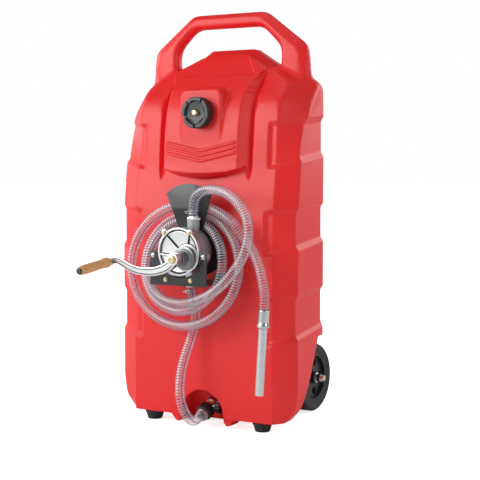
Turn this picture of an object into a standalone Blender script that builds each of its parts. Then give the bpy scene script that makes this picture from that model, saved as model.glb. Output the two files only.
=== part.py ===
"""Fuel caddy: a moulded tank on two wheels with a rotary hand pump, two hoses and a bottom valve.

Metres, +Z up, the pump faces -Y. The origin is on the floor, under the middle of the caddy's box.
"""
import math

import bmesh
import bpy
from mathutils import Matrix, Vector

for old in list(bpy.data.objects):
    bpy.data.objects.remove(old, do_unlink=True)

# Shared clearances
seat_gap = 0.0003
overrun = 0.030
running_gap = 0.0005
pin_gap = 0.0001
weld_distance = 0.000003

# Sides of the round pieces
hexagon_sides = 6
dent_sides = 10
peg_sides = 12
bore_sides = 16
grip_sides = 18
rod_sides = 20
ring_sides = 24
band_sides = 28
cap_sides = 32
wheel_sides = 36
drum_sides = 40
ball_rings = 10
quarter_turn = 90.0
full_turn = 360.0
sharp_angle = math.radians(35.0)

# Tank, measured from the middle of its width, y from the tank's own datum
caddy_height = 0.930
tank_half_width = 0.2300
front_half_width = 0.180
pocket_half_width = 0.158
pocket_slope = 0.005
side_rear_half_width = 0.212
rear_corner_half_width = 0.128
rear_half_width = 0.100
front_y = -0.166
side_front_y = -0.141
side_rear_y = 0.014
rear_corner_y = 0.165
rear_y = 0.195
tank_bottom = 0.022
tuck_height = 0.078
bottom_tuck = 0.034
lean_start_z = 0.480
crown_z = 0.802
crown_lean = 0.126
recess_depth = 0.006
recess_slope = 0.008
tank_wall = 0.005
recess_bands = ((0.222, 0.308), (0.411, 0.495), (0.603, 0.687))
tuck_shares = ((0.0, 1.0), (0.17, 0.60), (0.42, 0.20), (1.0, 0.0))
lean_shares = ((0.0, 0.0), (0.373, 0.11), (0.652, 0.18), (0.792, 0.30), (0.860, 0.45),
               (0.916, 0.56), (0.963, 0.66), (1.0, 0.75))
side_lean_shares = ((0.0, 0.0), (0.373, 0.111), (0.652, 0.33), (0.792, 0.62), (0.860, 0.78),
                    (0.916, 0.87), (0.963, 0.93), (1.0, 1.0))
crown_width_shares = ((0.0, 1.0), (0.860, 1.0), (0.916, 0.92), (0.963, 0.80), (1.0, 0.72))

# Carrying handle
handle_front_y = -0.057
handle_depth = 0.036
handle_chamfer_depth = 0.011
handle_side_chamfer = 0.018
handle_top_chamfer = 0.009
bar_half_width = 0.0955
handle_half_width = 0.200
handle_corner_z = 0.850
handle_foot_half_width = 0.209
handle_foot_z = 0.790
handle_root_z = 0.740
opening_half_width = 0.137
opening_top_half_width = 0.0885
opening_top_z = 0.897
opening_corner_z = 0.850
opening_flare = 0.007

# Hump and front panel between the two side grooves
hump_top_z = 0.849
hump_top_half_width = 0.055
hump_foot_half_width = 0.130
hump_foot_z = 0.801
hump_front_y = -0.041
hump_rear_y = 0.003
panel_half_width = 0.0955
panel_bottom_z = 0.574
panel_sag = 0.016
panel_face_y = -0.172
panel_back_y = -0.100
panel_top_z = 0.778
panel_top_y = -0.112
panel_steps = 4
groove_shares = ((0.0, 0.04), (0.13, 0.85), (0.15, 1.0), (0.44, 1.0), (0.70, 1.0), (0.86, 1.0), (1.0, 1.0))
panel_shares = ((0.0, 0.0), (0.34, 0.05), (0.63, 0.20), (0.87, 0.57), (1.0, 1.0))
groove_half_width = 0.123
groove_tip_x = 0.1165
groove_tip_z = 0.540
groove_top_z = 0.790
groove_depth = 0.0075
chevron_half_width = 0.0925
chevron_drop = 0.019
chevron_depth = 0.0035
chevron_rows = ((0.632, 0.004), (0.6125, 0.006), (0.6035, 0.003))

# Filler boss, neck and cap
filler_z = 0.700
boss_half_width = 0.0535
boss_bottom_z = 0.625
boss_top_z = 0.752
boss_corner = 0.015
boss_corner_steps = 4
boss_face_y = -0.1690
neck_radius = 0.0275
neck_bore = 0.0235
neck_length = 0.014
cap_radius = 0.0345
cap_length = 0.025
cap_wall = 0.003
cap_rim_height = 0.006
cap_rim_wall = 0.008
cap_lobes = 5
cap_slot_share = 0.22
seal_thickness = 0.002
vent_radius = 0.0045
vent_head_radius = 0.0075
vent_head_length = 0.007

# Valve niche at the bottom of the front
niche_half_width = 0.056
niche_top_z = 0.082
niche_depth = 0.052
niche_skirt_z = 0.005
niche_skirt_width = 0.030
niche_skirt_depth = 0.040
niche_steps = 6
niche_port_depth = 0.026
valve_tilt = math.radians(25.0)
valve_y = -0.148
valve_z = 0.033

# Wheels, axle and feet
wheel_radius = 0.080
wheel_y = 0.122
wheel_inner_x = 0.105
tyre_width = 0.036
bead_share = 0.8
tread_shares = ((0.93, 1.0), (0.985, 0.7), (1.0, 0.3))
rim_radius = 0.056
rim_bore = 0.0065
rim_disc_width = 0.012
rim_band = 0.004
rim_slots = 5
rim_slot_radius = 0.009
rim_slot_circle = 0.036
hub_radius = 0.015
axle_radius = 0.006
axle_half_length = 0.160
washer_radius = 0.012
washer_thickness = 0.002
nut_radius = 0.0095
nut_hexagon_length = 0.0105
nut_dome_rise = 0.0023
nut_tip_rise = 0.0035
nut_dome_share = 0.7
well_inner_x = 0.088
well_top_z = 0.200
well_top_y = -0.012
well_bottom_y = -0.100
well_bottom_z = 0.050
axle_block_half = 0.018
foot_x = 0.143
foot_y = -0.141
foot_top_radius = 0.0225
foot_bottom_radius = 0.0165
foot_edge = 0.003

# Hose hanger: drum, disc with a fan-shaped lip, and its screws
drum_radius = 0.0510
drum_wall = 0.003
disc_radius = 0.0525
disc_y = -0.2136
sheet_thickness = 0.002
fan_half_width = 0.058
fan_side_z = 0.522
fan_top_z = 0.545
fan_waist_half_width = 0.030
fan_fold_z = 0.481
fan_lean = 0.004
disc_steps = 32
fan_steps = 12
screw_radius = 0.0042
screw_head = 0.0035

# Pump
pump_x = 0.004
pump_z = 0.3985
housing_radius = 0.0525
housing_front_y = -0.2527
chamber_wall = 0.0085
chamber_radius = housing_radius - chamber_wall
housing_wall = 0.005
gasket_thickness = 0.0008
cover_thickness = 0.012
cover_lug_thickness = 0.004
cover_lug_step = 0.0003
ear_thickness = 0.008
cover_ring_width = 0.005
cover_face_sink = 0.003
cover_rib_sink = 0.001
cover_rib_width = 0.004
shaft_x_share = 0.5
shaft_z_share = 0.272727
shaft_x = pump_x + chamber_radius * shaft_x_share
shaft_z = pump_z - chamber_radius * shaft_z_share
shaft_radius = 0.006
collar_radius = 0.026
collar_length = 0.012
neck_collar_radius = 0.016
neck_collar_length = 0.024
bush_wall = 0.003
rotor_share = 0.415909
rotor_radius = chamber_radius * rotor_share
vane_count = 4
vane_thickness = 0.003
vane_root_gap = 0.0025
vane_root_radius = shaft_radius + vane_root_gap
rib_angles = (56.0, 131.0, 187.0, 239.0, 302.0)
lug_radius = 0.0075
lug_root_share = 1.05
lug_steps = 6
upper_screw_x_share = 0.61333
upper_screw_z_share = 0.79048
side_screw_reach = 0.0120
side_screw_drop = 0.0100
lower_screw_x_share = 0.61143
lower_screw_reach = 0.0093
upper_screw_x = housing_radius * upper_screw_x_share
upper_screw_z = pump_z + housing_radius * upper_screw_z_share
side_screw_x = housing_radius + side_screw_reach
side_screw_z = pump_z - side_screw_drop
lower_screw_x = housing_radius * lower_screw_x_share
lower_screw_z = pump_z - housing_radius - lower_screw_reach
outlet_x = 0.0208
inlet_x = 0.0150
port_y = -0.2305
port_radius = 0.0135
port_bore = 0.009
outlet_root_share = 0.95
inlet_root_share = 0.98
outlet_boss_reach = 0.0150
inlet_boss_reach = 0.0080
outlet_top_z = pump_z + housing_radius + outlet_boss_reach
inlet_bottom_z = pump_z - housing_radius - inlet_boss_reach
outlet_fitting_length = 0.0085
inlet_fitting_length = 0.0180
suction_rise = 0.2870

# Pump bracket
bracket_side_margin = 0.0080
bracket_lower_margin = 0.0122
bracket_half_width = side_screw_x + bracket_side_margin
bracket_bottom_z = lower_screw_z - bracket_lower_margin
bracket_top_z = 0.399
bracket_thickness = 0.0025
bracket_cut_gap = 0.0045
bracket_cut_radius = housing_radius + bracket_cut_gap
bracket_arm_x = 0.058
bracket_foot_x = 0.034
bracket_arm_width = 0.014
bracket_arm_z = 0.345

# Crank
hub_half_radius = 0.0135
hub_length = 0.017
crank_front_y = -0.322
crank_screw_radius = 0.0065
crank_screw_head = 0.004
arm_thickness = 0.007
arm_width = 0.0135
crank_reach = 0.163
crank_sag = 0.0287
arm_shares = ((0.0, 0.0), (0.05, 0.40), (0.12, 0.66), (0.20, 0.83), (0.30, 0.96), (0.42, 1.0),
              (0.53, 0.96), (0.62, 0.86), (0.70, 0.70), (0.77, 0.51), (0.83, 0.35), (0.89, 0.25),
              (0.95, 0.27), (1.0, 0.38))
grip_length = 0.100
grip_radius = 0.0095
grip_bulge = 0.0018
grip_waves = 1.5
grip_steps = 10
grip_pin_radius = 0.004
grip_pin_head = 0.0065
grip_boss_rise = 0.003
grip_droop = math.radians(7.0)

# Hoses
hose_radius = 0.011
clamp_wall = 0.0016
clamp_width = 0.009
clamp_screw_radius = 0.0035
clamp_screw_length = 0.012
clamp_screw_share = 0.75
outlet_clamp_turn = math.radians(-150.0)
inlet_clamp_turn = math.radians(-120.0)
valve_clamp_turn = math.radians(-60.0)
ferrule_length = 0.040
ferrule_radius = 0.0128
ferrule_shares = ((0.9, 0.1), (0.9, 0.7), (1.0, 0.85), (1.0, 0.95))
spout_radius = 0.0100
spout_wall = 0.0012
spout_length = 0.144
spout_lean = math.radians(3.6)

# Delivery coil: each turn is wider than the one before, and the turns pass behind the lip in two layers
coil_turns = 2.6
coil_points_per_turn = 24
coil_eased_points = 3
route_pieces = 2
hose_round_steps = 2
coil_round_steps = 1
coil_x = -0.0120
coil_z = 0.3655
coil_drop = 0.0018
coil_lift = 0.0058
coil_start_radius = 0.0792
coil_growth = 0.0140
coil_quickening = 0.0050
coil_stretch = 1.085
coil_y = -0.1895
coil_weave = 0.0102
coil_weave_start = 0.5
coil_tilt = 0.0625
coil_tilt_loss = 0.0165

# Valve
valve_bore = 0.007
coupler_radius = 0.0185
coupler_length = 0.022
coupler_grooves = 12
coupler_groove_radius = 0.0012
coupler_groove_inset = 0.00275
valve_nut_radius = 0.0135
valve_nut_length = 0.008
valve_body_radius = 0.0105
valve_body_length = 0.016
port_seal_thickness = 0.002
knob_radius = 0.014
knob_length = 0.012
knob_socket_depth = 0.006
knob_lobes = 6
knob_lobe_radius = 0.0035
stem_radius = 0.003
ball_radius = 0.0065
ball_bore = 0.003


# Places that follow from the sizes above
outlet_hose_z = outlet_top_z + outlet_fitting_length
inlet_hose_z = inlet_bottom_z - inlet_fitting_length
tyre_outer_x = wheel_inner_x + tyre_width
grip_root = grip_pin_radius * math.sin(grip_droop) + seat_gap
pin_end = grip_root + grip_boss_rise + grip_length + seat_gap
front_limit_y = (crank_front_y - grip_boss_rise - math.cos(grip_droop) * (pin_end + grip_pin_radius)
                 - math.sin(grip_droop) * grip_pin_head)
rear_limit_y = max(rear_y, wheel_y + wheel_radius)
caddy_shift_y = -(front_limit_y + rear_limit_y) / 2
valve_axis = Vector((0.0, math.cos(valve_tilt), math.sin(valve_tilt)))
valve_centre = Vector((0.0, valve_y, valve_z))
cavity_inset = recess_depth + tank_wall


def empty(name, place=(0.0, 0.0, 0.0), parent=None):
    """An unseen frame that pieces hang from."""
    frame = bpy.data.objects.new(name, None)
    bpy.context.scene.collection.objects.link(frame)
    frame.location = place
    frame.parent = parent
    return frame


caddy = empty("caddy_frame", (0.0, caddy_shift_y, 0.0))


def paint(name, colour, roughness, metallic=0.0):
    """A plain surface with the part's colour."""
    surface = bpy.data.materials.new(name)
    surface.use_nodes = True
    shader = surface.node_tree.nodes["Principled BSDF"]
    shader.inputs["Base Color"].default_value = (*colour, 1.0)
    shader.inputs["Roughness"].default_value = roughness
    shader.inputs["Metallic"].default_value = metallic
    return surface


red_plastic = paint("red_plastic", (0.78, 0.03, 0.03), 0.45)
black_plastic = paint("black_plastic", (0.02, 0.02, 0.022), 0.5)
black_sheet = paint("black_sheet", (0.03, 0.032, 0.035), 0.45, 0.3)
black_rubber = paint("black_rubber", (0.015, 0.015, 0.016), 0.8)
cast_silver = paint("cast_silver", (0.62, 0.64, 0.66), 0.4, 1.0)
bright_steel = paint("bright_steel", (0.75, 0.76, 0.78), 0.25, 1.0)
yellow_brass = paint("yellow_brass", (0.80, 0.62, 0.28), 0.3, 1.0)
pale_wood = paint("pale_wood", (0.62, 0.38, 0.16), 0.55)
clear_hose = paint("clear_hose", (0.80, 0.80, 0.86), 0.2)


def finish(name, mesh, surface=None, parent=None, place=(0.0, 0.0, 0.0), turn=(0.0, 0.0, 0.0)):
    """Put a mesh into the scene as a named piece."""
    piece = bpy.data.objects.new(name, mesh)
    bpy.context.scene.collection.objects.link(piece)
    piece.parent = parent or caddy
    piece.location = place
    piece.rotation_euler = turn
    if surface:
        mesh.materials.append(surface)
        mesh.shade_smooth()
        mesh.set_sharp_from_angle(angle=sharp_angle)
    else:
        piece.hide_render = True
        piece.display_type = "WIRE"
    return piece


def to_mesh(bm, name):
    """Close a bmesh into a mesh whose faces point out."""
    bmesh.ops.recalc_face_normals(bm, faces=bm.faces)
    mesh = bpy.data.meshes.new(name)
    bm.to_mesh(mesh)
    bm.free()
    return mesh


def turned(name, profile, sides):
    """A solid turned about Z from (radius, height) points; it closes on the axis or on itself."""
    bm = bmesh.new()
    verts = [bm.verts.new((radius, 0.0, height)) for radius, height in profile]
    edges = [bm.edges.new(pair) for pair in zip(verts, verts[1:])]
    if profile[0][0] > 0.0:
        edges.append(bm.edges.new((verts[-1], verts[0])))
    bmesh.ops.spin(bm, geom=verts + edges, cent=(0, 0, 0), axis=(0, 0, 1), angle=math.tau, steps=sides)
    bmesh.ops.remove_doubles(bm, verts=bm.verts, dist=weld_distance)
    return to_mesh(bm, name)


def rod(radius, start, end):
    """Profile of a plain round rod between two heights."""
    return [(0.0, start), (radius, start), (radius, end), (0.0, end)]


def sleeve(inner, outer, start, end):
    """Profile of a ring between two radii and two heights."""
    return [(inner, start), (outer, start), (outer, end), (inner, end)]


def drawn(name, outline, low, high, plane="XZ"):
    """A flat outline drawn through a depth; XZ outlines run along Y and YZ outlines along X."""
    bm = bmesh.new()
    if plane == "XZ":
        ring = [bm.verts.new((a, low, b)) for a, b in outline]
        path = Vector((0.0, high - low, 0.0))
    else:
        ring = [bm.verts.new((low, a, b)) for a, b in outline]
        path = Vector((high - low, 0.0, 0.0))
    face = bm.faces.new(ring)
    grown = bmesh.ops.extrude_face_region(bm, geom=[face])
    moved = [item for item in grown["geom"] if isinstance(item, bmesh.types.BMVert)]
    bmesh.ops.translate(bm, verts=moved, vec=path)
    return to_mesh(bm, name)


def lofted(name, rings):
    """A skin over closed rings of points, with both ends capped."""
    bm = bmesh.new()
    loops = []
    for ring in rings:
        verts = [bm.verts.new(point) for point in ring]
        loops.append([bm.edges.new(pair) for pair in zip(verts, verts[1:] + verts[:1])])
        if ring is rings[0] or ring is rings[-1]:
            bm.faces.new(verts)
    for below, above in zip(loops, loops[1:]):
        bmesh.ops.bridge_loops(bm, edges=below + above)
    bmesh.ops.triangulate(bm, faces=bm.faces)
    return to_mesh(bm, name)


def box(name, low, high):
    """A block between two corners."""
    outline = [(low[0], low[2]), (high[0], low[2]), (high[0], high[2]), (low[0], high[2])]
    return drawn(name, outline, low[1], high[1])


def join_in(piece, other, operation):
    """Cut with, keep within or add another shape."""
    step = piece.modifiers.new(operation.lower() + "_" + other.name, "BOOLEAN")
    step.object = other
    step.operation = operation


def shape(name, mesh, parent=None, place=(0.0, 0.0, 0.0), turn=(0.0, 0.0, 0.0)):
    """A guide or cutter, left out of the finished caddy."""
    return finish(name, mesh, None, parent, place, turn)


def between(shares, share):
    """Read a table of (share, share) pairs at any share."""
    for (a, low), (b, high) in zip(shares, shares[1:]):
        if share <= b:
            return low + (high - low) * (share - a) / (b - a)
    return shares[-1][1]


def mirrored(half):
    """A closed outline from its half at x >= 0, whose two ends lie on x = 0."""
    return half + [(-x, z) for x, z in reversed(half) if x > 0.0]


def arc(centre, radius, start, end, steps):
    """Points on an arc, angles in degrees."""
    turns = [math.radians(start + (end - start) * step / steps) for step in range(steps + 1)]
    return [(centre[0] + radius * math.cos(turn), centre[1] + radius * math.sin(turn)) for turn in turns]


face_forward = (math.pi / 2, 0.0, 0.0)
face_right = (0.0, math.pi / 2, 0.0)
face_valve = (-(math.pi / 2 - valve_tilt), 0.0, 0.0)


def tank_ring(height, inset=0.0, recess=0.0):
    """The tank's outline at a height, drawn in by a wall or a recessed band."""
    share = (height - lean_start_z) / (crown_z - lean_start_z)
    lean = crown_lean * between(lean_shares, max(share, 0.0))
    side_lean = crown_lean * between(side_lean_shares, max(share, 0.0))
    width = between(crown_width_shares, max(share, 0.0))
    tuck = bottom_tuck * between(tuck_shares, min((height - tank_bottom) / tuck_height, 1.0))
    half = [
        (0.0, front_y + lean + inset),
        (pocket_half_width - inset, front_y + lean + inset),
        (pocket_half_width + pocket_slope - inset, front_y + lean + inset + recess),
        (front_half_width - recess / 2 - inset, front_y + lean + inset + recess),
        (tank_half_width - recess - tuck - inset, side_front_y + side_lean + inset),
        (side_rear_half_width - recess - tuck - inset, side_rear_y),
        (rear_corner_half_width - recess - inset, rear_corner_y - lean - inset),
        (rear_half_width - inset, rear_y - lean - inset),
        (0.0, rear_y - lean - inset),
    ]
    return [(x * width, y, height) for x, y in mirrored(half)]


def tank_levels():
    """Heights of the tank's outlines, each with its recess."""
    levels = {}
    for share, _ in tuck_shares:
        levels[tank_bottom + share * tuck_height] = 0.0
    for low, high in recess_bands:
        levels[low - recess_slope / 2] = 0.0
        levels[low + recess_slope / 2] = recess_depth
        levels[high - recess_slope / 2] = recess_depth
        levels[high + recess_slope / 2] = 0.0
    for share, _ in lean_shares:
        height = lean_start_z + share * (crown_z - lean_start_z)
        inside = any(low < height < high for low, high in recess_bands)
        near = any(abs(height - level) < recess_slope / 2 for level in levels)
        if not near:
            levels[height] = recess_depth if inside else 0.0
    return sorted(levels.items())


def handle_ring(y, side, top):
    """The handle's outer outline at one depth, drawn in at its sides and top."""
    half = [
        (0.0, caddy_height - top),
        (bar_half_width - top, caddy_height - top),
        (handle_half_width - side, handle_corner_z - top),
        (handle_foot_half_width - side, handle_foot_z),
        (handle_foot_half_width - side, handle_root_z),
        (0.0, handle_root_z),
    ]
    return [(x, y, z) for x, z in mirrored(half)]


def opening_ring(y, flare):
    """The outline of the hand opening at one depth, wider where its edges round off."""
    half = [
        (0.0, opening_top_z + flare),
        (opening_top_half_width + flare, opening_top_z + flare),
        (opening_half_width + flare, opening_corner_z + flare),
        (opening_half_width + flare, crown_z),
        (0.0, crown_z),
    ]
    return [(x, y, z) for x, z in mirrored(half)]


def panel_depth(height):
    """How far forward the panel's face lies at a height."""
    foot = panel_bottom_z - panel_sag
    share = (height - foot) / (panel_top_z - foot)
    if share <= 1.0:
        return panel_face_y + (panel_top_y - panel_face_y) * between(panel_shares, share)
    rise = (height - panel_top_z) / (hump_top_z - panel_top_z)
    return panel_top_y + (hump_front_y - panel_top_y) * rise


def groove_ring(height, side, share):
    """Section of the groove beside the panel: a long inner flank and a short steep outer one."""
    front = tank_ring(height)[0][1]
    face = panel_depth(height) if height > panel_bottom_z else front
    outside = panel_face_y - overrun
    depth = front + groove_depth * share - face
    inner = (groove_tip_x - panel_half_width) * share
    outer = (groove_half_width - groove_tip_x) * share
    steep = groove_depth * share
    return [
        (side * groove_tip_x, face + depth, height),
        (side * (groove_tip_x - inner - inner / depth * (face - outside)), outside, height),
        (side * (groove_tip_x + outer + outer / steep * (front - outside)), outside, height),
    ]


def build_tank():
    """The hollow moulded shell with its handle, panel, boss, niche and wheel recesses."""
    rings = [tank_ring(height, recess=recess) for height, recess in tank_levels()]
    tank = finish("tank", lofted("tank", rings), red_plastic)

    handle_rear_y = handle_front_y + handle_depth
    handle = shape("handle_shape", lofted("handle_shape", [
        handle_ring(handle_front_y, handle_side_chamfer, handle_top_chamfer),
        handle_ring(handle_front_y + handle_chamfer_depth, 0.0, 0.0),
        handle_ring(handle_rear_y - handle_chamfer_depth, 0.0, 0.0),
        handle_ring(handle_rear_y, handle_side_chamfer, handle_top_chamfer),
    ]))
    opening = shape("handle_opening", lofted("handle_opening", [
        opening_ring(handle_front_y - seat_gap, opening_flare),
        opening_ring(handle_front_y + handle_chamfer_depth, 0.0),
        opening_ring(handle_rear_y - handle_chamfer_depth, 0.0),
        opening_ring(handle_rear_y + seat_gap, opening_flare),
    ]))
    join_in(handle, opening, "DIFFERENCE")
    join_in(tank, handle, "UNION")

    foot_z = panel_bottom_z - panel_sag
    sag_radius = (panel_half_width ** 2 + panel_sag ** 2) / (2 * panel_sag)
    reach = math.degrees(math.asin(panel_half_width / sag_radius))
    lower = arc((0.0, foot_z + sag_radius), sag_radius, -quarter_turn, reach - quarter_turn, panel_steps)
    lower[0] = (0.0, foot_z)
    outline = mirrored(lower + [(groove_tip_x, panel_bottom_z + panel_sag), (groove_tip_x, panel_top_z),
                                (hump_foot_half_width, hump_foot_z),
                                (hump_top_half_width, hump_top_z), (0.0, hump_top_z)])
    panel = drawn("panel_shape", outline, panel_face_y - overrun, hump_rear_y + seat_gap)
    panel = shape("panel_shape", panel)
    heights = [foot_z + (panel_top_z - foot_z) * rise for rise, _ in panel_shares] + [hump_top_z]
    flank = [(panel_depth(height), height) for height in heights]
    flank += [(hump_rear_y, hump_top_z), (hump_rear_y, handle_root_z), (panel_back_y, foot_z)]
    side_view = shape("panel_side", drawn("panel_side", flank, -tank_half_width, tank_half_width, "YZ"))
    join_in(panel, side_view, "INTERSECT")

    join_in(tank, panel, "UNION")
    for side, suffix in ((-1.0, "left"), (1.0, "right")):
        rings = []
        for rise, share in groove_shares:
            height = groove_tip_z + (groove_top_z - groove_tip_z) * rise
            rings.append(groove_ring(height, side, share))
        join_in(tank, shape("groove_" + suffix, lofted("groove_" + suffix, rings)), "DIFFERENCE")

    corners = ((1, 1), (-1, 1), (-1, -1), (1, -1))
    middle_z = (boss_top_z + boss_bottom_z) / 2
    half_height = (boss_top_z - boss_bottom_z) / 2 - boss_corner
    rounded = []
    for number, (right, up) in enumerate(corners):
        centre = (right * (boss_half_width - boss_corner), middle_z + up * half_height)
        start = number * quarter_turn
        rounded += arc(centre, boss_corner, start, start + quarter_turn, boss_corner_steps)
    boss = shape("boss_shape", drawn("boss_shape", rounded, boss_face_y, panel_back_y))
    join_in(tank, boss, "UNION")
    neck = shape("neck_shape", turned("neck_shape", rod(neck_radius, -overrun, neck_length), cap_sides),
                 place=(0.0, boss_face_y, filler_z), turn=face_forward)
    join_in(tank, neck, "UNION")

    for number, (height, width) in enumerate(chevron_rows):
        vee = mirrored([(0.0, height - chevron_drop), (chevron_half_width, height),
                        (chevron_half_width, height - width), (0.0, height - chevron_drop - width)])
        face_y = panel_depth(height)
        vee = drawn("chevron_%d" % number, vee, face_y - overrun, face_y + chevron_depth)
        cut = shape("chevron_%d" % number, vee)
        join_in(tank, cut, "DIFFERENCE")

    for side in (-1.0, 1.0):
        suffix = "left" if side < 0.0 else "right"
        skirt = [(side * (niche_half_width + niche_skirt_width), tank_bottom + seat_gap),
                 (side * (niche_half_width + niche_skirt_width / 2), niche_skirt_z + seat_gap),
                 (side * (niche_half_width + niche_skirt_width / 4), niche_skirt_z),
                 (side * niche_half_width, niche_skirt_z + (tank_bottom - niche_skirt_z) / 2),
                 (side * niche_half_width, niche_top_z / 2)]
        lobe = drawn("niche_skirt_" + suffix, skirt, front_y + seat_gap, front_y + niche_skirt_depth)
        lobe = shape("niche_skirt_" + suffix, lobe)
        join_in(tank, lobe, "UNION")

    cut_niche(tank)
    cut_wheel_wells(tank)
    cut_cavity(tank)
    bore = rod(neck_bore, -overrun - boss_half_width, neck_length + overrun)
    bore = shape("filler_bore", turned("filler_bore", bore, cap_sides), place=(0.0, boss_face_y, filler_z),
                 turn=face_forward)
    join_in(tank, bore, "DIFFERENCE")


def niche_arch(half_width, top):
    """Half-round arch standing on a level below the tank."""
    half = [(0.0, top)]
    rise = top - tank_bottom
    for step in range(1, niche_steps + 1):
        turn = math.radians(quarter_turn * (1.0 - step / niche_steps))
        half.append((half_width * math.cos(turn), tank_bottom + rise * math.sin(turn)))
    half.append((half_width, -overrun))
    half.append((0.0, -overrun))
    return mirrored(half)


def cut_niche(tank):
    """An arched niche whose back wall is square to the valve."""
    outline = niche_arch(niche_half_width, niche_top_z)
    niche = drawn("niche_cut", outline, front_y - overrun, front_y + niche_depth + overrun)
    niche = shape("niche_cut", niche)
    wall = valve_centre + valve_axis * (niche_port_depth + valve_nut_length + port_seal_thickness)
    side = niche_half_width + overrun
    back = shape("niche_back", box("niche_back", (-side, 0.0, -side), (side, side, side)),
                 place=wall, turn=(valve_tilt, 0.0, 0.0))
    join_in(niche, back, "DIFFERENCE")
    join_in(tank, niche, "DIFFERENCE")
    port = shape("port_bore", turned("port_bore", rod(valve_bore, 0.0, niche_depth + overrun), bore_sides),
                 place=valve_centre, turn=face_valve)
    join_in(tank, port, "DIFFERENCE")


def well_outline(grow):
    """Side view of a wheel recess, open to the rear and below."""
    return [(well_bottom_y - grow, -overrun), (well_bottom_y - grow, well_bottom_z),
            (well_top_y - grow, well_top_z + grow), (rear_y + overrun, well_top_z + grow),
            (rear_y + overrun, -overrun)]


def cut_wheel_wells(tank):
    """Recesses that hold the wheels, and the bore of the axle between them."""
    for side in (-1.0, 1.0):
        suffix = "left" if side < 0.0 else "right"
        ends = sorted((side * well_inner_x, side * (tank_half_width + overrun)))
        well = shape("well_" + suffix, drawn("well_" + suffix, well_outline(0.0), ends[0], ends[1], "YZ"))
        join_in(tank, well, "DIFFERENCE")
    reach = well_inner_x + overrun
    bore = shape("axle_bore", turned("axle_bore", rod(axle_radius + seat_gap, -reach, reach), ring_sides),
                 place=(0.0, wheel_y, wheel_radius), turn=face_right)
    join_in(tank, bore, "DIFFERENCE")


def cut_cavity(tank):
    """The room for the fuel, with walls left round the recesses, the niche and the axle."""
    heights = [height for height, _ in tank_levels()]
    rings = [tank_ring(height, cavity_inset) for height in heights]
    rings = [ring for ring in rings if tank_bottom + tank_wall < ring[0][2] < crown_z - cavity_inset]
    cavity = shape("cavity", lofted("cavity", rings))
    for side in (-1.0, 1.0):
        suffix = "left" if side < 0.0 else "right"
        ends = sorted((side * (well_inner_x - tank_wall), side * (tank_half_width + overrun)))
        wall = shape("well_wall_" + suffix,
                     drawn("well_wall_" + suffix, well_outline(tank_wall), ends[0], ends[1], "YZ"))
        join_in(cavity, wall, "DIFFERENCE")
    block_y = (wheel_y - axle_block_half, wheel_y + axle_block_half)
    block = shape("axle_block", box("axle_block", (-tank_half_width, block_y[0], 0.0),
                                    (tank_half_width, block_y[1], wheel_radius + axle_block_half)))
    join_in(cavity, block, "DIFFERENCE")
    side = niche_half_width + axle_block_half
    hood = shape("niche_hood", box("niche_hood", (-side, front_y - overrun, 0.0),
                                   (side, front_y + niche_depth + overrun, niche_top_z + axle_block_half)))
    join_in(cavity, hood, "DIFFERENCE")
    join_in(tank, cavity, "DIFFERENCE")


def build_feet():
    """Two rubber feet under the front corners."""
    profile = [(0.0, 0.0), (foot_bottom_radius - foot_edge, 0.0), (foot_bottom_radius, foot_edge),
               (foot_top_radius, tank_bottom - seat_gap), (0.0, tank_bottom - seat_gap)]
    for side, suffix in ((-1.0, "left"), (1.0, "right")):
        finish("foot_" + suffix, turned("foot_" + suffix, profile, ring_sides), black_rubber,
               place=(side * foot_x, foot_y, 0.0))


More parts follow.
